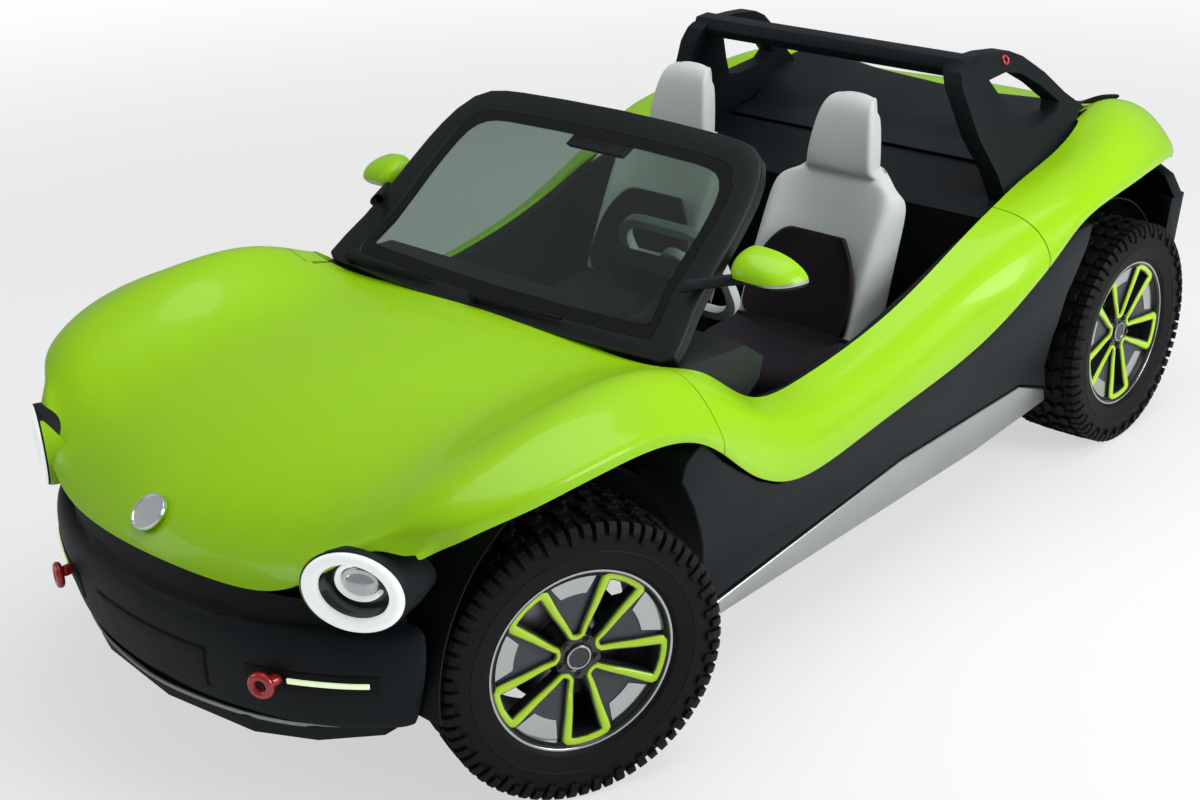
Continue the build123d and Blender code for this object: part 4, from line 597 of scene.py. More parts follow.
rim_black = finish_material("satin black alloy", (0.014, 0.015, 0.017), 0.32, coat=0.3, scale=600.0, uneven=0.06)
rim_plate = finish_material("grey rim plate", (0.040, 0.048, 0.058), 0.42, scale=700.0, uneven=0.06)
rim_lime = finish_material("lime rim line", (0.46, 0.74, 0.010), 0.3, coat=0.5, uneven=0.02, tint=0.03)
bright_alloy = finish_material("bright alloy", (0.50, 0.53, 0.52), 0.2, metallic=1.0, scale=200.0, uneven=0.05)
WINDOWS = 5
WINDOW_TURN = math.radians(-88)
WINDOW_SIDE = (
    (0.063, 22.0), (0.090, 19.4), (0.117, 17.2), (0.150, 15.4), (0.184, 14.7), (0.212, 14.3), (0.2240, 14.1),
)
WINDOW_ARC = ((0.2325, 12.4), (0.2352, 8.0), (0.2360, 0.0), (0.2352, -8.0), (0.2325, -12.4))
HUB_TURN = ((0.0575, 28.5), (0.0555, 36.0), (0.0575, 43.5))


FACE_FROM_R = 0.055
FACE_SPAN_R = 0.188
FACE_X = 0.089
FACE_CONE = 0.018
LINE_HALF = 0.0060
LINE_GROWTH = 0.0068
PLATE_BEHIND = 0.020


def crest_x(r):
    """How far out the face of the spokes lies at a radius."""
    return FACE_X + FACE_CONE * (r - FACE_FROM_R) / FACE_SPAN_R


def face_point(r, angle, x):
    """Point of the rim's face from its radius and its angle in radians."""
    return Vector((x, r * math.cos(angle), r * math.sin(angle)))


def line_path():
    """Places (r, angle) once round the continuous line."""
    sector = [(r, -a) for r, a in WINDOW_SIDE + WINDOW_ARC] + list(WINDOW_SIDE[::-1] + HUB_TURN)
    return [
        (r, math.radians(a + 360 / WINDOWS * number) + WINDOW_TURN) for number in range(WINDOWS) for r, a in sector
    ]


def ribbon(name, wider, section):
    """A closed bar along the line, its section given by (share of the half width, depth)."""
    path = line_path()
    rows = []
    for number, (r, angle) in enumerate(path):
        before = face_point(*path[number - 1], 0)
        after = face_point(*path[(number + 1) % len(path)], 0)
        along = (after - before).normalized()
        sideways = Vector((0, -along.z, along.y))
        half_width = LINE_HALF + LINE_GROWTH * (r - FACE_FROM_R) / FACE_SPAN_R + wider
        rows.append([
            face_point(r, angle, crest_x(r) + depth) + sideways * half_width * share for share, depth in section
        ])
    rows.append(rows[0])
    bar = sheet_of_rows(name, [row + row[:1] for row in rows])
    outwards(bar)
    return bar


lime_line = ribbon("lime_line", 0.0, ((-1, -0.010), (-1, -0.003), (-0.7, 0), (0.7, 0), (1, -0.003), (1, -0.010)))
smooth(lime_line, 50)
spokes = ribbon("spokes", 0.0035, ((-1, -0.036), (-1, -0.006), (1, -0.006), (1, -0.036)))
smooth(spokes)
PLATE_ROWS = (
    (0.058, 11.0), (0.090, 16.0), (0.120, 18.6), (0.150, 20.2), (0.184, 21.0), (0.210, 20.9), (0.230, 20.6),
)
PANEL_ROWS = ((0.176, 11.5), (0.200, 14.2), (0.231, 16.6))


def plate_sheet(name, rows, lift):
    """A sheet between two windows from (radius, half angle in degrees) rows."""
    centre = WINDOW_TURN + math.radians(180 / WINDOWS)
    return sheet_of_rows(name, [
        [
            face_point(r, centre + math.radians(half * share), crest_x(r) - PLATE_BEHIND + lift)
            for share in (-1, -0.5, 0, 0.5, 1)
        ]
        for r, half in rows
    ])


plates = turned_copies(plate_sheet("plates", PLATE_ROWS, 0.0), WINDOWS)
outwards(plates)
use(plates, "SOLIDIFY", thickness=0.008, offset=0.0)
panels = turned_copies(plate_sheet("panels", PANEL_ROWS, 0.0055), WINDOWS)
outwards(panels)
use(panels, "SOLIDIFY", thickness=0.003, offset=0.0)
round_edges(panels, 0.001, 2)
barrel = spun("barrel", (
    (0.1120, 0.2405), (0.1120, 0.2480), (0.1045, 0.2480), (0.1033, 0.2290), (-0.1033, 0.2290), (-0.1045, 0.2480),
    (-0.1120, 0.2480), (-0.1120, 0.2216), (0.0700, 0.2216), (0.0980, 0.2320),
), 96)
smooth(barrel, 35)
hub = spun("hub", (
    (0.004, 0.0), (0.004, 0.072), (0.058, 0.072), (0.074, 0.062), (0.083, 0.0605), (0.0855, 0.058), (0.0855, 0.040),
    (0.083, 0.036), (0.083, 0.0),
), 64)
smooth(hub, 30)
BOLT_CIRCLE_R = 0.0495
bolts = []
for radius, depth, middle, corners in ((0.0125, 0.006, 0.086, 24), (0.0088, 0.012, 0.088, 6)):
    deselect_all()
    bpy.ops.mesh.primitive_cylinder_add(
        radius=radius, depth=depth, vertices=corners, rotation=(0, math.pi / 2, 0),
        location=face_point(BOLT_CIRCLE_R, WINDOW_TURN, middle),
    )
    bolt = bpy.context.object
    settle(bolt)
    round_edges(bolt, 0.0012, 2)
    bolts.append(bolt)
bolts = turned_copies(joined(*bolts), WINDOWS)
lip = spun("lip", ((0.1120, 0.2425), (0.1128, 0.2450), (0.1124, 0.2484), (0.1100, 0.2488), (0.1100, 0.2420)), 96)
smooth(lip, 60)
cap = spun("cap", (
    (0.080, 0.0), (0.080, 0.0335), (0.0885, 0.0335), (0.0905, 0.0315), (0.0905, 0.0290), (0.0892, 0.0275),
    (0.0892, 0.0),
), 48)
smooth(cap)
dark_rim = joined(spokes, barrel, hub, bolts, cap)
dark_rim.name = "rim"
cap_ring = spun("cap_ring", (
    (0.0890, 0.0272), (0.0918, 0.0285), (0.0922, 0.0305), (0.0908, 0.0328), (0.0880, 0.0332), (0.0880, 0.0272),
), 48)
smooth(cap_ring, 50)
bright_rim = joined(lip, panels, cap_ring)
bright_rim.name = "rim_bright"
lime_line.name = "rim_line"
plates.name = "rim_plates"
KINGPIN_X = 0.690
WHEEL_OUT = 0.057
FRONT_AXLE_Y = -1.2815
REAR_AXLE_Y = 1.3685
STEERED = math.radians(-22)
CORNERS = (
    ("front_left", "wheel_fl", 1, FRONT_AXLE_Y, STEERED), ("front_right", "wheel_fr", -1, FRONT_AXLE_Y, STEERED),
    ("rear_left", "wheel_rl", 1, REAR_AXLE_Y, 0.0), ("rear_right", "wheel_rr", -1, REAR_AXLE_Y, 0.0),
)
WHEEL_SET = (
    (tyre, rubber, "tyre", "tyre"), (dark_rim, rim_black, "rim", "rim"), (plates, rim_plate, "rim", None),
    (lime_line, rim_lime, "green", None), (bright_rim, bright_alloy, "bright", None),
)
for corner, body, side, axle_y, steered in CORNERS:
    turn = Matrix.Translation((side * KINGPIN_X, axle_y, TYRE_R)) @ Matrix.Rotation(steered, 4, "Z")
    turn = turn @ Matrix.Translation((side * WHEEL_OUT, 0, 0)) @ Matrix.Rotation(0 if side > 0 else math.pi, 4, "Z")
    for source, look, slot, replaced in WHEEL_SET:
        copy = copied(source, source.name + "_" + corner + "_finished")
        copy.data.transform(turn)
        wear(copy, look)
        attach(copy, body)
        if replaced:
            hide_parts(replaced + "_" + corner)
for wheel_part in WHEEL_SET:
    bpy.data.objects.remove(wheel_part[0])

# --- Headlamps
# Round lamps: a thick ring that glows white before a dark moulded bezel, and in it a black bowl
# with a small projector behind a chrome half ring, whose brightness is a painted highlight glow. A
# lime collar runs back from each lamp's outer upper side into the fender.

# The lamp ring's own glow, also worn by the chrome half ring as a painted highlight.
lamp_glow_and_painted_glint = finish_material(
    "lamp glow and painted glint", (0.93, 0.96, 0.94), 0.25, uneven=0.02, tint=0.0, glow=0.35, glow_colour=(0.95, 1.0, 0.97, 1),
)
bowl_black = finish_material("lamp bowl", (0.012, 0.014, 0.017), 0.22, coat=0.4, scale=60.0, uneven=0.05)
lens_clear = finish_material("lamp lens", (0.55, 0.60, 0.60), 0.06, metallic=0.6, coat=1.0, uneven=0.02, tint=0.05)
LAMP_PIECES = (
    ("lamp_ring", lamp_glow_and_painted_glint, "lamp_white", "lamp_rings", (
        (-0.026, 0.090), (-0.012, 0.088), (-0.003, 0.092), (0.001, 0.106), (-0.003, 0.122), (-0.010, 0.1275),
        (-0.018, 0.128),
    )),
    ("lamp_bezel", dark_plastic, "dark", "lamp_housings", (
        (-0.009, 0.1280), (-0.012, 0.1310), (-0.030, 0.1320), (-0.080, 0.1300), (-0.130, 0.1180), (-0.150, 0.0950),
        (-0.150, 0.0750), (-0.060, 0.0850), (-0.022, 0.1200),
    )),
    ("lamp_bowl", bowl_black, "lens", "lamp_lenses", (
        (-0.020, 0.0910), (-0.034, 0.0820), (-0.044, 0.0700), (-0.056, 0.0680), (-0.058, 0.0), (-0.070, 0.0),
        (-0.070, 0.0910),
    )),
)
BEZEL_NARROWS_BEHIND = -0.02
BEZEL_ASIDE = 0.35
BEZEL_LOWER = 2.2
COLLAR_BACK = (0.0, 0.12, 0.35, 0.65, 1.0)
COLLAR_DEG = range(120, 233, 8)
COLLAR_ENDS_DEG = (114, 238)
COLLAR_RUN_OUT_DEG = (44, 24)
COLLAR_X, COLLAR_R = -0.014, 0.1325
COLLAR_DEPTH, COLLAR_FLARE = 0.056, 0.007
PROJECTOR = ((-0.066, 0.0), (-0.066, 0.046), (-0.040, 0.046), (-0.026, 0.034), (-0.019, 0.017), (-0.018, 0.0))
PROJECTOR_AT = (0.004, 0.008, 0.018)
HALF_RING_STEPS = 25
HALF_RING_START_DEG, HALF_RING_STEP_DEG = -30, 9.5
HALF_RING_X, HALF_RING_R = -0.034, 0.0550
HALF_RING_DEPTH, HALF_RING_WIDTH = 0.012, 0.0070
HALF_RING_AT = (0.0, 0.010, 0.022)
HALF_RING_CORNERS = 8


def lamp_turn(side):
    """Places a piece built along X on one headlamp's axis."""
    centre = Vector(LAMP_CENTRES[0 if side > 0 else 1])
    squat = Matrix.Diagonal((1, 1, LAMP_SQUAT, 1))
    return Matrix.Translation(centre) @ Matrix.Rotation(side * LAMP_TOE - math.pi / 2, 4, "Z") @ squat


for side, place in ((1, "left"), (-1, "right")):
    for name, look, slot, node, profile in LAMP_PIECES:
        piece = spun(name + "_" + place, profile, 72)
        smooth(piece, 50)
        if name == "lamp_bezel":
            for point in piece.data.vertices:
                depth = max(BEZEL_NARROWS_BEHIND - point.co.x, 0.0)
                point.co.y += side * BEZEL_ASIDE * depth
                point.co.z *= 1 - BEZEL_LOWER * depth
        piece.data.transform(lamp_turn(side))
        wear(piece, look)
        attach(piece, "chassis")
        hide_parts(node)
    rows = []
    for back in COLLAR_BACK:
        row = []
        for turned in COLLAR_DEG:
            reach = back * min(
                1.0, (turned - COLLAR_ENDS_DEG[0]) / COLLAR_RUN_OUT_DEG[0],
                (COLLAR_ENDS_DEG[1] - turned) / COLLAR_RUN_OUT_DEG[1],
            )
            r = COLLAR_R + COLLAR_FLARE * reach
            angle = math.radians(turned)
            row.append((COLLAR_X - COLLAR_DEPTH * reach, side * r * math.cos(angle), r * math.sin(angle)))
        rows.append(row)
    collar = sheet_of_rows("lamp_collar_" + place, rows)
    collar.data.transform(lamp_turn(side))
    outwards(collar)
    use(collar, "SUBSURF", levels=2, render_levels=2)
    use(collar, "SOLIDIFY", thickness=0.003, offset=0.0)
    smooth(collar, 60)
    wear(collar, lime_paint)
    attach(collar, "chassis")
    projector = spun("projector_" + place, PROJECTOR, 40)
    smooth(projector)
    ahead, aside, above = PROJECTOR_AT
    projector.data.transform(lamp_turn(side) @ Matrix.Translation((ahead, side * aside, above)))
    wear(projector, lens_clear)
    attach(projector, "chassis")
    rows = []
    for number in range(HALF_RING_STEPS):
        angle = math.radians(HALF_RING_START_DEG - number * HALF_RING_STEP_DEG)
        row = []
        for corner in range(HALF_RING_CORNERS + 1):
            turned = math.tau * corner / HALF_RING_CORNERS
            r = HALF_RING_R + HALF_RING_WIDTH * math.cos(turned)
            row.append((
                HALF_RING_X + HALF_RING_DEPTH * math.sin(turned), r * math.cos(angle), r * math.sin(angle),
            ))
        rows.append(row)
    half_ring = sheet_of_rows("half_ring_" + place, rows)
    edit_all(half_ring)
    bpy.ops.mesh.remove_doubles(threshold=ONE_PLACE)
    bpy.ops.mesh.select_mode(type="VERT")
    bpy.ops.mesh.select_all(action="DESELECT")
    bpy.ops.mesh.select_non_manifold()
    bpy.ops.mesh.edge_face_add()
    bpy.ops.object.mode_set(mode="OBJECT")
    outwards(half_ring)
    smooth(half_ring, 50)
    ahead, aside, above = HALF_RING_AT
    half_ring.data.transform(lamp_turn(side) @ Matrix.Translation((ahead, side * aside, above)))
    # The half ring is chrome; its white glow is a painted highlight.
    wear(half_ring, lamp_glow_and_painted_glint)
    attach(half_ring, "chassis")

# --- Front bumper
# The front bumper is one moulded skin with a blank plate panel edged in painted black shade, and
# on each side a recess darkened by a painted shade sheet, with a forged red towing eye and a slim
# light strip. The gap over it is lined with painted black shade, and a bright lip is fixed under it.

eye_red = finish_material("red enamel", (0.45, 0.010, 0.012), 0.22, coat=0.7, uneven=0.04)
strip_lit = finish_material(
    "light strip", (0.80, 0.95, 0.62), 0.3, uneven=0.02, tint=0.0, glow=0.5, glow_colour=(0.85, 1.0, 0.62, 1),
)


AHEAD_OF_ALL = -3


def laid_on(target, name, corners, across, up, lift, thickness):
    """A thin panel on the front of a piece, its corners (x, z) anticlockwise from the low left."""
    low_left, low_right, high_right, high_left = [Vector(corner) for corner in corners]
    rows = []
    for level in range(up + 1):
        left = low_left.lerp(high_left, level / up)
        right = low_right.lerp(high_right, level / up)
        row = []
        for number in range(across + 1):
            x, z = left.lerp(right, number / across)
            spot, normal = target.ray_cast((x, AHEAD_OF_ALL, z), (0, 1, 0))[1:3]
            row.append(spot + normal * lift)
        rows.append(row)
    panel = sheet_of_rows(name, rows)
    outwards(panel)
    use(panel, "SOLIDIFY", thickness=thickness, offset=0.0)
    round_edges(panel, thickness * 0.3, 2, 50.0)
    smooth(panel)
    return panel


BUMPER_LEVELS = (
    (292, ((0, -1950), (290, -1925), (470, -1865), (570, -1805), (616, -1790), (624, -1772))),
    (300, ((0, -2030), (300, -1996), (498, -1918), (598, -1840), (640, -1800), (648, -1774))),
    (318, ((0, -2052), (300, -2018), (503, -1938), (608, -1856), (660, -1802), (666, -1776))),
    (400, ((0, -2072), (300, -2036), (510, -1955), (640, -1872), (690, -1808), (696, -1780))),
    (500, ((0, -2075), (300, -2042), (512, -1965), (660, -1880), (714, -1808), (722, -1782))),
    (560, ((0, -2066), (300, -2032), (508, -1956), (654, -1872), (716, -1804), (724, -1780))),
    (582, ((0, -2044), (296, -2010), (498, -1934), (640, -1850), (704, -1794), (712, -1774))),
    (588, ((0, -2000), (288, -1968), (480, -1894), (618, -1812), (676, -1788), (684, -1770))),
    (580, ((0, -1930), (276, -1900), (452, -1850), (570, -1806), (634, -1788), (642, -1770))),
)


DRAWN_AHEAD = 43.5
DRAWN_BELOW = 14


def in_metres(x, y, z):
    """Point in metres from the drawing's millimetres, whose middle lies ahead of ours and whose ground below."""
    return x / 1000, (y + DRAWN_AHEAD) / 1000, (z + DRAWN_BELOW) / 1000


def full_levels(levels):
    """Rows of points across the whole car from heights and the left half's (x, y) in millimetres."""
    rows = []
    for z, half in levels:
        whole = [(-x, y) for x, y in reversed(half[1:])] + list(half)
        rows.append([in_metres(x, y, z) for x, y in whole])
    return rows


def moulded_sheet(name, rows, levels=0, wall=0.0, offset=0.0, rounding=0.0, shade=50.0):
    """A sheet through rows of points, subdivided, given its wall and its rounded edges."""
    sheet = sheet_of_rows(name, rows)
    outwards(sheet)
    if levels:
        use(sheet, "SUBSURF", levels=levels, render_levels=levels)
    if wall:
        use(sheet, "SOLIDIFY", thickness=wall, offset=offset)
    if rounding:
        round_edges(sheet, rounding, above=60.0)
    smooth(sheet, shade)
    return sheet


bumper = moulded_sheet("bumper_skin", full_levels(BUMPER_LEVELS), 3, 0.012, -1.0)
wear(bumper, dark_plastic)
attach(bumper, "chassis")
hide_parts("front_bumper")
PLATE = ((-0.205, 0.378), (0.205, 0.378), (0.22, 0.488), (-0.22, 0.488))
PLATE_EDGE = ((-0.211, 0.372), (0.211, 0.372), (0.226, 0.494), (-0.226, 0.494))
# The black edge under the plate panel is painted shade for the gap round it.
for name, corners, lift, thickness, look in (
    ("plate_edge_shade", PLATE_EDGE, 0.0005, 0.002, black_and_painted_gap_shade), ("plate_panel", PLATE, 0.002, 0.004, dark_plastic),
):
    panel = laid_on(bumper, name, corners, 16, 3, lift, thickness)
    wear(panel, look)
    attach(panel, "chassis")
RECESS = ((0.335, 0.412), (0.645, 0.446), (0.655, 0.498), (0.34, 0.484))
STRIP = ((0.452, 0.457), (0.632, 0.466), (0.633, 0.479), (0.452, 0.471))
EYE_Z = 0.461
EYE_X, EYE_Y = 0.419, -1.99
EYE_TOE = math.radians(22)
SHANK_X, SHANK_Y = 0.425, -1.952
for side, place in ((1, "left"), (-1, "right")):
    # The recess is a black sheet laid on the skin, painted shade for its depth.
    for name, corners, lift, thickness, look, slot in (
        ("recess", RECESS, 0.001, 0.003, black_and_painted_gap_shade, "dark"), ("strip", STRIP, 0.006, 0.006, strip_lit, "lamp_white"),
    ):
        spots = corners if side > 0 else [(-x, z) for x, z in (corners[1], corners[0], corners[3], corners[2])]
        panel = laid_on(bumper, name + "_" + place, spots, 10, 2, lift, thickness)
        wear(panel, look)
        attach(panel, "chassis")
    deselect_all()
    bpy.ops.mesh.primitive_torus_add(
        major_radius=0.0245, minor_radius=0.0110, major_segments=48, minor_segments=16,
        location=(side * EYE_X, EYE_Y, EYE_Z), rotation=(math.pi / 2, 0, side * EYE_TOE),
    )
    eye = bpy.context.object
    eye.name = "tow_eye_" + place
    settle(eye)
    deselect_all()
    bpy.ops.mesh.primitive_cylinder_add(
        radius=0.015, depth=0.040, vertices=32, location=(side * SHANK_X, SHANK_Y, EYE_Z),
        rotation=(math.pi / 2, 0, 0),
    )
    shank = bpy.context.object
    settle(shank)
    round_edges(shank, 0.003)
    eye = joined(eye, shank)
    smooth(eye)
    wear(eye, eye_red)
    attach(eye, "chassis")
    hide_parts("tow_eyes")
GAP_LEVELS = (
    (548, ((0, -2036), (250, -2008), (433, -1950), (545, -1884), (640, -1812))),
    (650, ((0, -2040), (250, -2010), (433, -1946), (530, -1884), (600, -1835))),
)
GAP_BACK = 0.006
GAP_RISE = 0.034
GAP_RISE_HALF = 0.48
LIP_LEVELS = (
    (296, ((0, -2043), (90, -2040), (300, -2006), (450, -1942), (520, -1880))),
    (310, ((0, -2048), (90, -2044), (300, -2011), (450, -1948), (530, -1888))),
)
gap_rows = full_levels(GAP_LEVELS)
gap_rows[1] = [
    (x, y - GAP_BACK, z + GAP_RISE * max(0.0, 1 - abs(x) / GAP_RISE_HALF)) for x, y, z in gap_rows[1]
]
# The black sheet in the gap over the bumper is painted shade.
for name, rows, look, slot in (
    ("bumper_gap_shade", gap_rows, black_and_painted_gap_shade, "dark"), ("skid_lip", full_levels(LIP_LEVELS), brushed, "bright"),
):
    trim = moulded_sheet(name, rows, 2, 0.004)
    wear(trim, look)
    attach(trim, "chassis")

# --- Badge
# A plain round badge of polished metal with a raised rim. It is let into the nose of the hood,
# square to the paint.

badge_metal = finish_material("badge metal", (0.74, 0.77, 0.76), 0.2, metallic=1.0, scale=150.0, uneven=0.05)
badge = spun("badge", (
    (-0.006, 0.0), (-0.006, 0.050), (0.003, 0.050), (0.0056, 0.0482), (0.0056, 0.0440), (0.0030, 0.0420), (0.0030, 0.0),
), 64)
BADGE_AT = (0, -1.96, 0.771)
BADGE_FACES = (0, -0.62, 0.785)
smooth(badge)
badge_lean = Vector(BADGE_FACES).to_track_quat("X", "Z").to_matrix().to_4x4()
badge.data.transform(Matrix.Translation(BADGE_AT) @ badge_lean)
wear(badge, badge_metal)
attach(badge, "chassis")

# --- Windscreen
# A raked frame moulded round a lightly tinted pane. The pane has a black ceramic border, and the
# frame's upper corners are widely rounded.

SCREEN_FOOT = Vector((0, -0.791, 0.949))
SCREEN_UP = Vector((0, 0.8045, 0.5940))
SCREEN_OUT = Vector((0, -0.5940, 0.8045))
# Outlines of the left half: millimetres across and up the slope.
FRAME_OUTER = (
    (0, -30), (300, -24), (560, -12), (648, -10), (678, 10), (668, 80), (649, 160), (634, 280), (626, 400), (618, 480),
    (608, 540), (590, 602), (556, 660), (508, 692), (452, 704), (380, 710), (200, 717), (0, 720),
)
FRAME_INNER = (
    (0, 22), (290, 28), (535, 38), (566, 42), (575, 60), (566, 110), (550, 180), (546, 290), (545, 380), (540, 450),
    (533, 510), (520, 560), (496, 596), (462, 618), (420, 628), (370, 634), (190, 640), (0, 642),
)
FRIT_INNER = (
    (0, 64), (270, 68), (500, 78), (532, 84), (541, 98), (532, 140), (518, 200), (514, 300), (513, 380), (509, 440),
    (502, 490), (490, 532), (470, 562), (444, 582), (410, 592), (365, 597), (180, 603), (0, 605),
)


def on_screen(w, s, out):
    """Point from millimetres across and up the slope of the screen, and a lift in metres."""
    return Vector((w / 1000, 0, 0)) + SCREEN_FOOT + SCREEN_UP * (s / 1000) + SCREEN_OUT * out


def round_screen(half, out):
    """Points once round the screen from the left half of an outline."""
    whole = list(half) + [(-w, s) for w, s in reversed(half[1:-1])]
    return [on_screen(w, s, out) for w, s in whole]


def screen_ring(name, outer, inner, out, thickness):
    """A flat ring between two outlines with a wall behind it."""
    rows = [[a, a.lerp(b, 0.5), b] for a, b in zip(round_screen(outer, out), round_screen(inner, out))]
    ring = sheet_of_rows(name, rows + rows[:1])
    outwards(ring)
    use(ring, "SOLIDIFY", thickness=thickness, offset=0.0)
    return ring


frame_plastic = finish_material(
    "screen frame moulding", (0.010, 0.0125, 0.013), 0.34, scale=900.0, bump=0.15, uneven=0.06, specular=0.2,
)
screen_frame = screen_ring("screen_frame", FRAME_OUTER, FRAME_INNER, -0.016, 0.040)
round_edges(screen_frame, 0.006, 4, 50.0)
smooth(screen_frame, 35)
wear(screen_frame, frame_plastic)
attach(screen_frame, "chassis")
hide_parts("windscreen_frame")
frit_black = finish_material("black ceramic border", (0.006, 0.008, 0.007), 0.25, uneven=0.02, specular=0.2)
frit = screen_ring("screen_border", FRAME_INNER, FRIT_INNER, 0.0005, 0.002)
wear(frit, frit_black)
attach(frit, "chassis")
PANE_GROWTH = 1.02
PANE_UNDER = 6
MID_SLOPE = 300
pane_half = [(w * PANE_GROWTH, s + (PANE_UNDER if s > MID_SLOPE else -PANE_UNDER)) for w, s in FRIT_INNER]
pane = sheet_of_rows("screen_pane", [
    [on_screen(w * share, s, -0.003) for share in (-1, -0.5, 0, 0.5, 1)] for w, s in pane_half
])
outwards(pane)
use(pane, "SOLIDIFY", thickness=0.005, offset=0.0)
tinted = finish_material("tinted glass", (0.34, 0.45, 0.38), 0.02, uneven=0.005, tint=0.0, clear=1.0)
wear(pane, tinted)
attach(pane, "chassis")
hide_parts("windscreen_glass")

# --- Wipers
# Two slim black arms of moulded plastic lie along the foot of the frame, each with a round pivot
# at one end.

# Each row: share of the length, half width and half height in millimetres.
WIPER_ROWS = ((0, 6, 7), (0.06, 9, 9), (0.5, 8, 7), (0.94, 6, 5), (1, 3, 3))
WIPER_SIDES = 12
WIPER_FOOT = 2
WIPER_RISE = 14
WIPER_LIFT = 0.018
PIVOT_INSET = 8
PIVOT_LIFT = 0.016
for place, start, end in (("left", -50, 285), ("right", -575, -225)):
    rows = []
    for share, wide, tall in WIPER_ROWS:
        w, s = start + (end - start) * share, WIPER_FOOT + WIPER_RISE * share
        row = []
        for number in range(WIPER_SIDES + 1):
            turned = math.tau * number / WIPER_SIDES
            row.append(on_screen(w, s + wide * math.cos(turned), WIPER_LIFT + tall / 1000 * math.sin(turned)))
        rows.append(row)
    wiper = sheet_of_rows("wiper_" + place, rows)
    outwards(wiper)
    use(wiper, "SUBSURF", levels=1, render_levels=1)
    deselect_all()
    bpy.ops.mesh.primitive_cylinder_add(
        radius=0.014, depth=0.024, vertices=32, location=on_screen(start + PIVOT_INSET, WIPER_FOOT, PIVOT_LIFT),
        rotation=SCREEN_OUT.to_track_quat("Z", "Y").to_euler(),
    )
    pivot = bpy.context.object
    settle(pivot)
    round_edges(pivot, 0.003)
    wiper = joined(wiper, pivot)
    smooth(wiper, 45)
    wear(wiper, black_and_painted_gap_shade)
    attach(wiper, "chassis")
    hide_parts("wipers")

# --- Door mirrors
# Each mirror has a lime cap over a dark lower shell with a bright strip between them, on a short
# dark arm from the foot of the screen. The glass faces back.

mirror_face = finish_material("silvered glass", (0.8, 0.82, 0.84), 0.04, metallic=1.0, uneven=0.01, tint=0.0)
POD_X, POD_Y, POD_Z = 0.744, -0.447, 1.107
POD_HALF = 0.100
CAP_TALL, FOOT_TALL = 0.070, 0.030
INNER_END, OUTER_END = 4.0, 2.4
CAP_SLOPE, CAP_OUTER_SLOPE = 0.22, 0.10
POD_BACK, POD_DROP = 0.012, 0.006
OPEN_AT = (0.742, -0.443, 1.147)
GLASS_AT = (0.738, -0.441, 1.118)
GLASS_TURN = 0.12
GLASS_SCALE = (0.084, 0.040, 0.005)
SPLIT = 1.104
STRIP_HALF = 0.0045
MIRROR_PARTS = (
    ("mirror_cap", SPLIT + STRIP_HALF, 2.0, lime_paint, "green"),
    ("mirror_strip", SPLIT - STRIP_HALF, SPLIT + STRIP_HALF, brushed, "bright"),
    ("mirror_foot", 0.0, SPLIT - STRIP_HALF, dark_plastic, "dark"),
)
# Each row of the arm: share of its length, then x, y and z in millimetres.
ARM_ROWS = (
    (0, 606, -690, 1084), (0.3, 636, -640, 1086), (0.6, 668, -590, 1086), (0.85, 700, -550, 1084), (1, 726, -528, 1080),
)
ARM_DEEP, ARM_TALL = 0.026, 0.017
ARM_SLIMS_DEEP, ARM_SLIMS_TALL = 0.006, 0.002
ARM_SIDES = 16


def mirror_cut(source, name, low, high):
    """The part of the mirror's body between two heights."""
    copy = copied(source, name)
    for level, up in ((low, 1), (high, -1)):
        edit_all(copy)
        bpy.ops.mesh.bisect(plane_co=(0, 0, level), plane_no=(0, 0, up), clear_inner=True, use_fill=True)
        bpy.ops.object.mode_set(mode="OBJECT")
    outwards(copy)
    smooth(copy)
    return copy


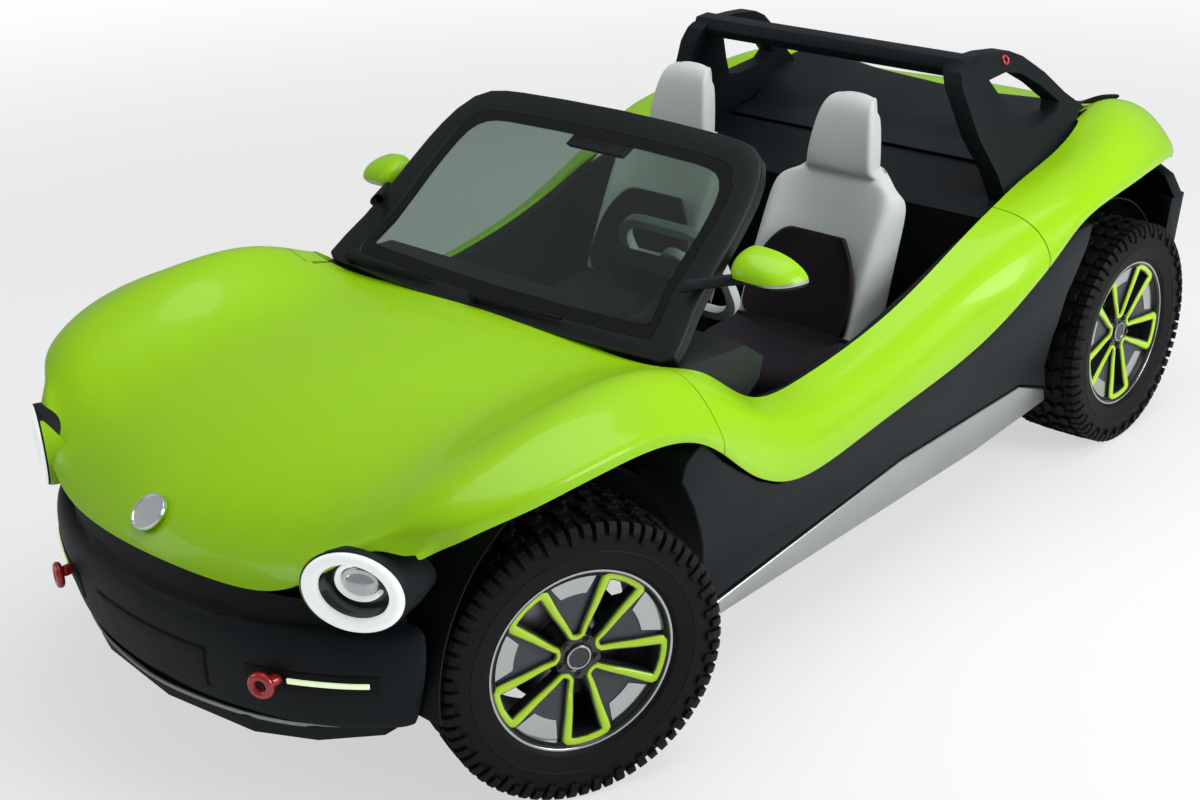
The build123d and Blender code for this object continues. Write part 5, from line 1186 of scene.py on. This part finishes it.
for side, place in ((1, "left"), (-1, "right")):
    deselect_all()
    bpy.ops.mesh.primitive_uv_sphere_add(segments=48, ring_count=32, radius=1, rotation=(0, math.pi / 2, 0))
    shell = bpy.context.object
    settle(shell)
    for point in shell.data.vertices:
        along = point.co.x
        girth = math.sqrt(max(1 - along * along, 0.0))
        fuller = (1 - abs(along) ** (INNER_END if along < 0 else OUTER_END)) ** 0.5 / max(girth, 0.001)
        upper = point.co.z > 0
        slope = 1 - CAP_SLOPE * (along + 1) / 2 - (CAP_OUTER_SLOPE if along > 0 else 0.0) * along
        tall = (CAP_TALL if upper else FOOT_TALL) * point.co.z * fuller * (slope if upper else 1.0)
        point.co = (
            side * (POD_X + POD_HALF * along), POD_Y + POD_HALF * point.co.y * fuller + POD_BACK * along,
            POD_Z + tall - POD_DROP * along,
        )
    edit_all(shell)
    bpy.ops.mesh.bisect(
        plane_co=(side * OPEN_AT[0], OPEN_AT[1], OPEN_AT[2]), plane_no=(side * GLASS_TURN, -1, 0),
        clear_inner=True, use_fill=True,
    )
    bpy.ops.object.mode_set(mode="OBJECT")
    for name, low, high, look, slot in MIRROR_PARTS:
        part = mirror_cut(shell, name + "_" + place, low, high)
        wear(part, look)
        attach(part, "chassis")
        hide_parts("door_mirrors")
    bpy.data.objects.remove(shell)
    deselect_all()
    bpy.ops.mesh.primitive_cylinder_add(
        radius=1, depth=1, vertices=64, location=(side * GLASS_AT[0], GLASS_AT[1], GLASS_AT[2]),
        rotation=(math.pi / 2, 0, side * GLASS_TURN), scale=GLASS_SCALE,
    )
    glass = bpy.context.object
    glass.name = "mirror_glass_" + place
    settle(glass)
    round_edges(glass, 0.0015, 2)
    smooth(glass)
    wear(glass, mirror_face)
    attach(glass, "chassis")
    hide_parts("mirror_glasses")
    rows = []
    for share, x, y, z in ARM_ROWS:
        deep, tall = ARM_DEEP - ARM_SLIMS_DEEP * share, ARM_TALL - ARM_SLIMS_TALL * share
        centre = Vector(in_metres(side * x, y, z))
        row = []
        for number in range(ARM_SIDES + 1):
            turned = math.tau * number / ARM_SIDES
            row.append(centre + Vector((0, deep * math.cos(turned), tall * math.sin(turned))))
        rows.append(row)
    arm = moulded_sheet("mirror_arm_" + place, rows)
    wear(arm, dark_plastic)
    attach(arm, "chassis")

# --- Seats
# Bucket seats: a knitted cover over a moulded shell, with side bolsters and a tapering headrest
# in one piece with the back. The cushion and the lower back have a dark padded insert.

seat_knit = finish_material("seat knit", (0.55, 0.59, 0.565), 0.72, scale=1100.0, bump=0.7, tint=0.08)
pad_cloth = finish_material("pad cloth", (0.016, 0.013, 0.017), 0.78, scale=1100.0, bump=0.7, tint=0.15, specular=0.15)
# Each row: y and z of the middle and half width in millimetres, and how far the bolsters stand
# forward in metres.
SEAT_ROWS = (
    (-96, 470, 196, 0.000), (-104, 520, 206, 0.000), (-98, 562, 212, 0.012), (-60, 582, 218, 0.030),
    (20, 578, 224, 0.052), (100, 562, 228, 0.066), (160, 552, 232, 0.078), (200, 566, 234, 0.088),
    (226, 610, 236, 0.088), (256, 700, 236, 0.082), (292, 800, 234, 0.074), (326, 890, 232, 0.064),
    (352, 960, 232, 0.050), (366, 1004, 230, 0.036), (377, 1036, 218, 0.022), (386, 1058, 180, 0.010),
    (396, 1070, 138, 0.000), (378, 1080, 122, 0.000), (376, 1096, 122, 0.004), (384, 1150, 118, 0.006),
    (400, 1220, 107, 0.005), (416, 1272, 94, 0.002), (440, 1302, 80, -0.004), (474, 1308, 70, -0.010),
)
ACROSS = (-1.0, -1.03, -0.97, -0.84, -0.66, -0.36, 0.0, 0.36, 0.66, 0.84, 0.97, 1.03, 1.0)
BOLSTER = (-0.9, -0.25, 0.75, 1.0, 0.45, 0.08, 0.0, 0.08, 0.45, 1.0, 0.75, -0.25, -0.9)
EDGE_BACK = 0.06
# Each pad: its first row of the seat, how far across it reaches, and its width at each row.
PADS = (
    ("cushion", 1, 1.1, (1, 1, 1, 1, 1, 1, 1, 0.99)), ("back", 8, 0.9, (1, 0.99, 0.94, 0.58)),
)
PAD_LIFT = 0.007
SEAT_BASE_AT = (0.164, 0.459)
SEAT_BASE_SIZE = (0.36, 0.42, 0.16)


def seat_row(number, seat_x, lift=0.0, width=1.0, reach=2.0):
    """Points across the seat at one row of the table."""
    y, z, half, stand = SEAT_ROWS[number]
    before, after = SEAT_ROWS[max(number - 1, 0)], SEAT_ROWS[min(number + 1, len(SEAT_ROWS) - 1)]
    up = Vector((0, after[0] - before[0], after[1] - before[1])).normalized()
    out = Vector((0, -up.z, up.y))
    middle = Vector(in_metres(0, y, z)) + Vector((seat_x, 0, 0))
    row = []
    for share, raised in zip(ACROSS, BOLSTER):
        if abs(share) > reach:
            continue
        forward = raised * stand if raised > 0 else raised * EDGE_BACK
        row.append(middle + Vector((share * width * half / 1000, 0, 0)) + out * (forward + lift))
    return row


for seat_x, place in ((0.325, "left"), (-0.325, "right")):
    rows = [seat_row(number, seat_x) for number in range(len(SEAT_ROWS))]
    shell = moulded_sheet("seat_" + place, rows, 2, 0.030, -1.0, 0.008, 40.0)
    wear(shell, seat_knit)
    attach(shell, "chassis")
    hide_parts("seat_shell_" + place)
    for name, first, reach, widths in PADS:
        rows = [seat_row(first + number, seat_x, PAD_LIFT, width, reach) for number, width in enumerate(widths)]
        pad = moulded_sheet("pad_" + name + "_" + place, rows, 3, 0.012, 0.0, 0.004, 40.0)
        wear(pad, pad_cloth)
        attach(pad, "chassis")
        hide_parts("seat_pads")
    deselect_all()
    bpy.ops.mesh.primitive_cube_add(size=1, location=(seat_x, *SEAT_BASE_AT), scale=SEAT_BASE_SIZE)
    base = bpy.context.object
    base.name = "seat_base_" + place
    settle(base)
    round_edges(base, 0.03, 4)
    smooth(base)
    wear(base, dark_plastic)
    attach(base, "chassis")

# --- Tail cover
# A grained dark cover closes the deck between the roll bar's feet and the lime tail, and a red
# release ring sits on the left foot of the bar.

tail = bpy.data.objects["tail_and_fenders"]
deck = bpy.data.objects["rear_deck_finished"]
COVER_Y = (1.044, 1.133, 1.214, 1.284, 1.353, 1.444, 1.544, 1.633, 1.694, 1.7)
COVER_HALF = 0.60
COVER_COLUMNS = 20
COVER_LOWEST = 0.985
COVER_TUCK = 0.010
ABOVE_ALL = 1.25
FEELERS = ((0, 0), (0.03, 0), (-0.03, 0), (0, 0.05), (0, -0.05))
rows = []
for y in COVER_Y:
    row = []
    for number in range(COVER_COLUMNS + 1):
        x = -COVER_HALF + 2 * COVER_HALF * number / COVER_COLUMNS
        heights = [COVER_LOWEST]
        for under, lift in ((tail, 0.007), (deck, 0.006)):
            for aside, ahead in FEELERS:
                hit, spot = under.ray_cast((x + aside, y + ahead, ABOVE_ALL), (0, 0, -1))[:2]
                if hit:
                    heights.append(spot.z + lift)
        row.append((x, y, max(heights) - (COVER_TUCK if y == COVER_Y[-1] else 0.0)))
    rows.append(row)
cover = moulded_sheet("tail_cover", rows, 2, 0.004, 1.0)
wear(cover, dark_plastic)
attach(cover, "chassis")
RELEASE_AT = (0.551, 1.004, 1.355)
RELEASE_FACES = (0.91, 0, 0.42)
deselect_all()
bpy.ops.mesh.primitive_torus_add(
    major_radius=0.013, minor_radius=0.0042, major_segments=40, minor_segments=12, location=RELEASE_AT,
    rotation=Vector(RELEASE_FACES).to_track_quat("Z", "Y").to_euler(),
)
release = bpy.context.object
release.name = "release_ring"
settle(release)
smooth(release, 60)
wear(release, eye_red)
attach(release, "chassis")

# --- Dashboard and steering wheel
# A plain moulded dashboard with a pod for the instruments and a console between the seats. The
# steering wheel has a squared rim wrapped in the seats' pale cover.

dash_moulding = finish_material("dash moulding", (0.018, 0.023, 0.021), 0.55, scale=900.0, bump=0.3, specular=0.2)
for node, rounding in (("dashboard", 0.010), ("instrument_pod", 0.008), ("console", 0.010)):
    dressed(node, dash_moulding, rounding)
dressed("steering_wheel", seat_knit, 0.005, "hand_wheel")

# --- Cabin tub and wheel liners
# The tub is a black moulded floor with its bulkheads. Black liners close the four wheel housings,
# and the pedals hang from the front bulkhead.

tub_black = finish_material("tub moulding", (0.007, 0.009, 0.010), 0.6, scale=500.0, bump=0.4, specular=0.12)


def coloured(look, *names):
    """Gives CAD pieces that are shown as they are their material."""
    for name in names:
        nodes[name].data.materials.clear()
        nodes[name].data.materials.append(look)


coloured(tub_black, "cabin_tub", "wheel_liners", "pedals")

# --- Running gear
# Welded steel arms and subframes in black paint, cast alloy uprights, housings for the motor and
# the battery, and turned iron brake discs behind the rims.

steel_paint = finish_material("chassis paint", (0.012, 0.013, 0.015), 0.42, coat=0.2)
cast_alloy = finish_material("cast alloy", (0.16, 0.165, 0.17), 0.5, metallic=0.6, scale=500.0, bump=0.3)
turned_iron = finish_material("turned iron", (0.30, 0.30, 0.31), 0.35, metallic=1.0)
coloured(steel_paint, "front_arms", "rear_arms", "front_subframe", "rear_subframe", "dampers", "half_shafts")
coloured(cast_alloy, "knuckle_left", "knuckle_right", "rear_knuckles", "drive_motor", "battery")
coloured(turned_iron, *["brake_disc_" + corner[0] for corner in CORNERS])

# --- Studio
# A pale matt floor that whitens away from the car, a white backdrop, a broad soft light overhead
# and two at the sides.

FLOOR_SIZE = 80
FLOOR_WHITENS = (3.0, 10.0)
FLOOR_GLOW = (0.6, 1.0)
deselect_all()
bpy.ops.mesh.primitive_plane_add(size=FLOOR_SIZE, location=(0, 0, 0))
floor = bpy.context.object
floor.name = "floor"
floor_paint = bpy.data.materials.new("pale floor")
floor_paint.use_nodes = True
tree = floor_paint.node_tree
matt = tree.nodes["Principled BSDF"]
matt.inputs["Base Color"].default_value = (0.86, 0.86, 0.86, 1)
matt.inputs["Roughness"].default_value = 0.9
white = tree.nodes.new("ShaderNodeEmission")
white.inputs["Color"].default_value = (1, 1, 1, 1)
ray = tree.nodes.new("ShaderNodeLightPath")
place = tree.nodes.new("ShaderNodeTexCoord")
far = tree.nodes.new("ShaderNodeVectorMath")
far.operation = "LENGTH"
glow = tree.nodes.new("ShaderNodeMapRange")
glow.interpolation_type = "SMOOTHSTEP"
for socket, value in zip(("From Min", "From Max", "To Min", "To Max"), FLOOR_WHITENS + FLOOR_GLOW):
    glow.inputs[socket].default_value = value
share = tree.nodes.new("ShaderNodeMath")
share.operation = "MULTIPLY"
tree.links.new(place.outputs["Object"], far.inputs[0])
tree.links.new(far.outputs["Value"], glow.inputs["Value"])
tree.links.new(ray.outputs["Is Camera Ray"], share.inputs[0])
tree.links.new(glow.outputs["Result"], share.inputs[1])


def shown_mix(tree, share, lit, seen, end):
    """Mixes a lit shader with the one that the camera sees, by the share of the latter."""
    mix = tree.nodes.new("ShaderNodeMixShader")
    for socket, source in zip(mix.inputs, (share, lit.outputs[0], seen.outputs[0])):
        tree.links.new(source, socket)
    tree.links.new(mix.outputs[0], end.inputs["Surface"])


shown_mix(tree, share.outputs[0], matt, white, tree.nodes["Material Output"])
floor.data.materials.append(floor_paint)
settle(floor)

world = bpy.data.worlds.new("studio")
bpy.context.scene.world = world
world.use_nodes = True
tree = world.node_tree
tree.nodes.clear()
backdrops = []
for colour, strength in (((0.93, 0.95, 1.0, 1), 0.30), ((1, 1, 1, 1), 1.0)):
    backdrop = tree.nodes.new("ShaderNodeBackground")
    backdrop.inputs["Color"].default_value = colour
    backdrop.inputs["Strength"].default_value = strength
    backdrops.append(backdrop)
ray = tree.nodes.new("ShaderNodeLightPath")
shown_mix(tree, ray.outputs["Is Camera Ray"], *backdrops, tree.nodes.new("ShaderNodeOutputWorld"))

LIT_POINT = Vector((0, 0, 0.5))
for name, place, size, power in (
    ("overhead", (0.6, 0.3, 5.6), 4.6, 175), ("left", (6.0, 1.5, 3.2), 3.2, 260),
    ("front right", (-4.5, -6.0, 3.5), 3.0, 60),
):
    lamp = bpy.data.lights.new(name, "AREA")
    lamp.size = size
    lamp.energy = power
    holder = bpy.data.objects.new(name, lamp)
    holder.location = place
    holder.rotation_euler = (LIT_POINT - Vector(place)).to_track_quat("-Z", "Y").to_euler()
    bpy.context.scene.collection.objects.link(holder)

# --- Camera
# Stands where the photograph was taken: ahead of the car's left front wheel and above roof height,
# looking back and down at the cabin.

CAMERA_AT = (3.6053, -4.2249, 2.8584)
ROUND_DEG, DOWN_DEG, ROLL_DEG = 42.858, 24.011, -1.913
lens = bpy.data.cameras.new("photograph")
lens.lens = 57.04
lens.sensor_width = 36.0
camera = bpy.data.objects.new("photograph", lens)
turn = Matrix.Rotation(math.radians(ROUND_DEG), 4, "Z") @ Matrix.Rotation(math.radians(90 - DOWN_DEG), 4, "X")
camera.matrix_world = Matrix.Translation(CAMERA_AT) @ turn @ Matrix.Rotation(math.radians(ROLL_DEG), 4, "Z")
bpy.context.scene.collection.objects.link(camera)
bpy.context.scene.camera = camera
bpy.context.scene.view_settings.view_transform = "Standard"
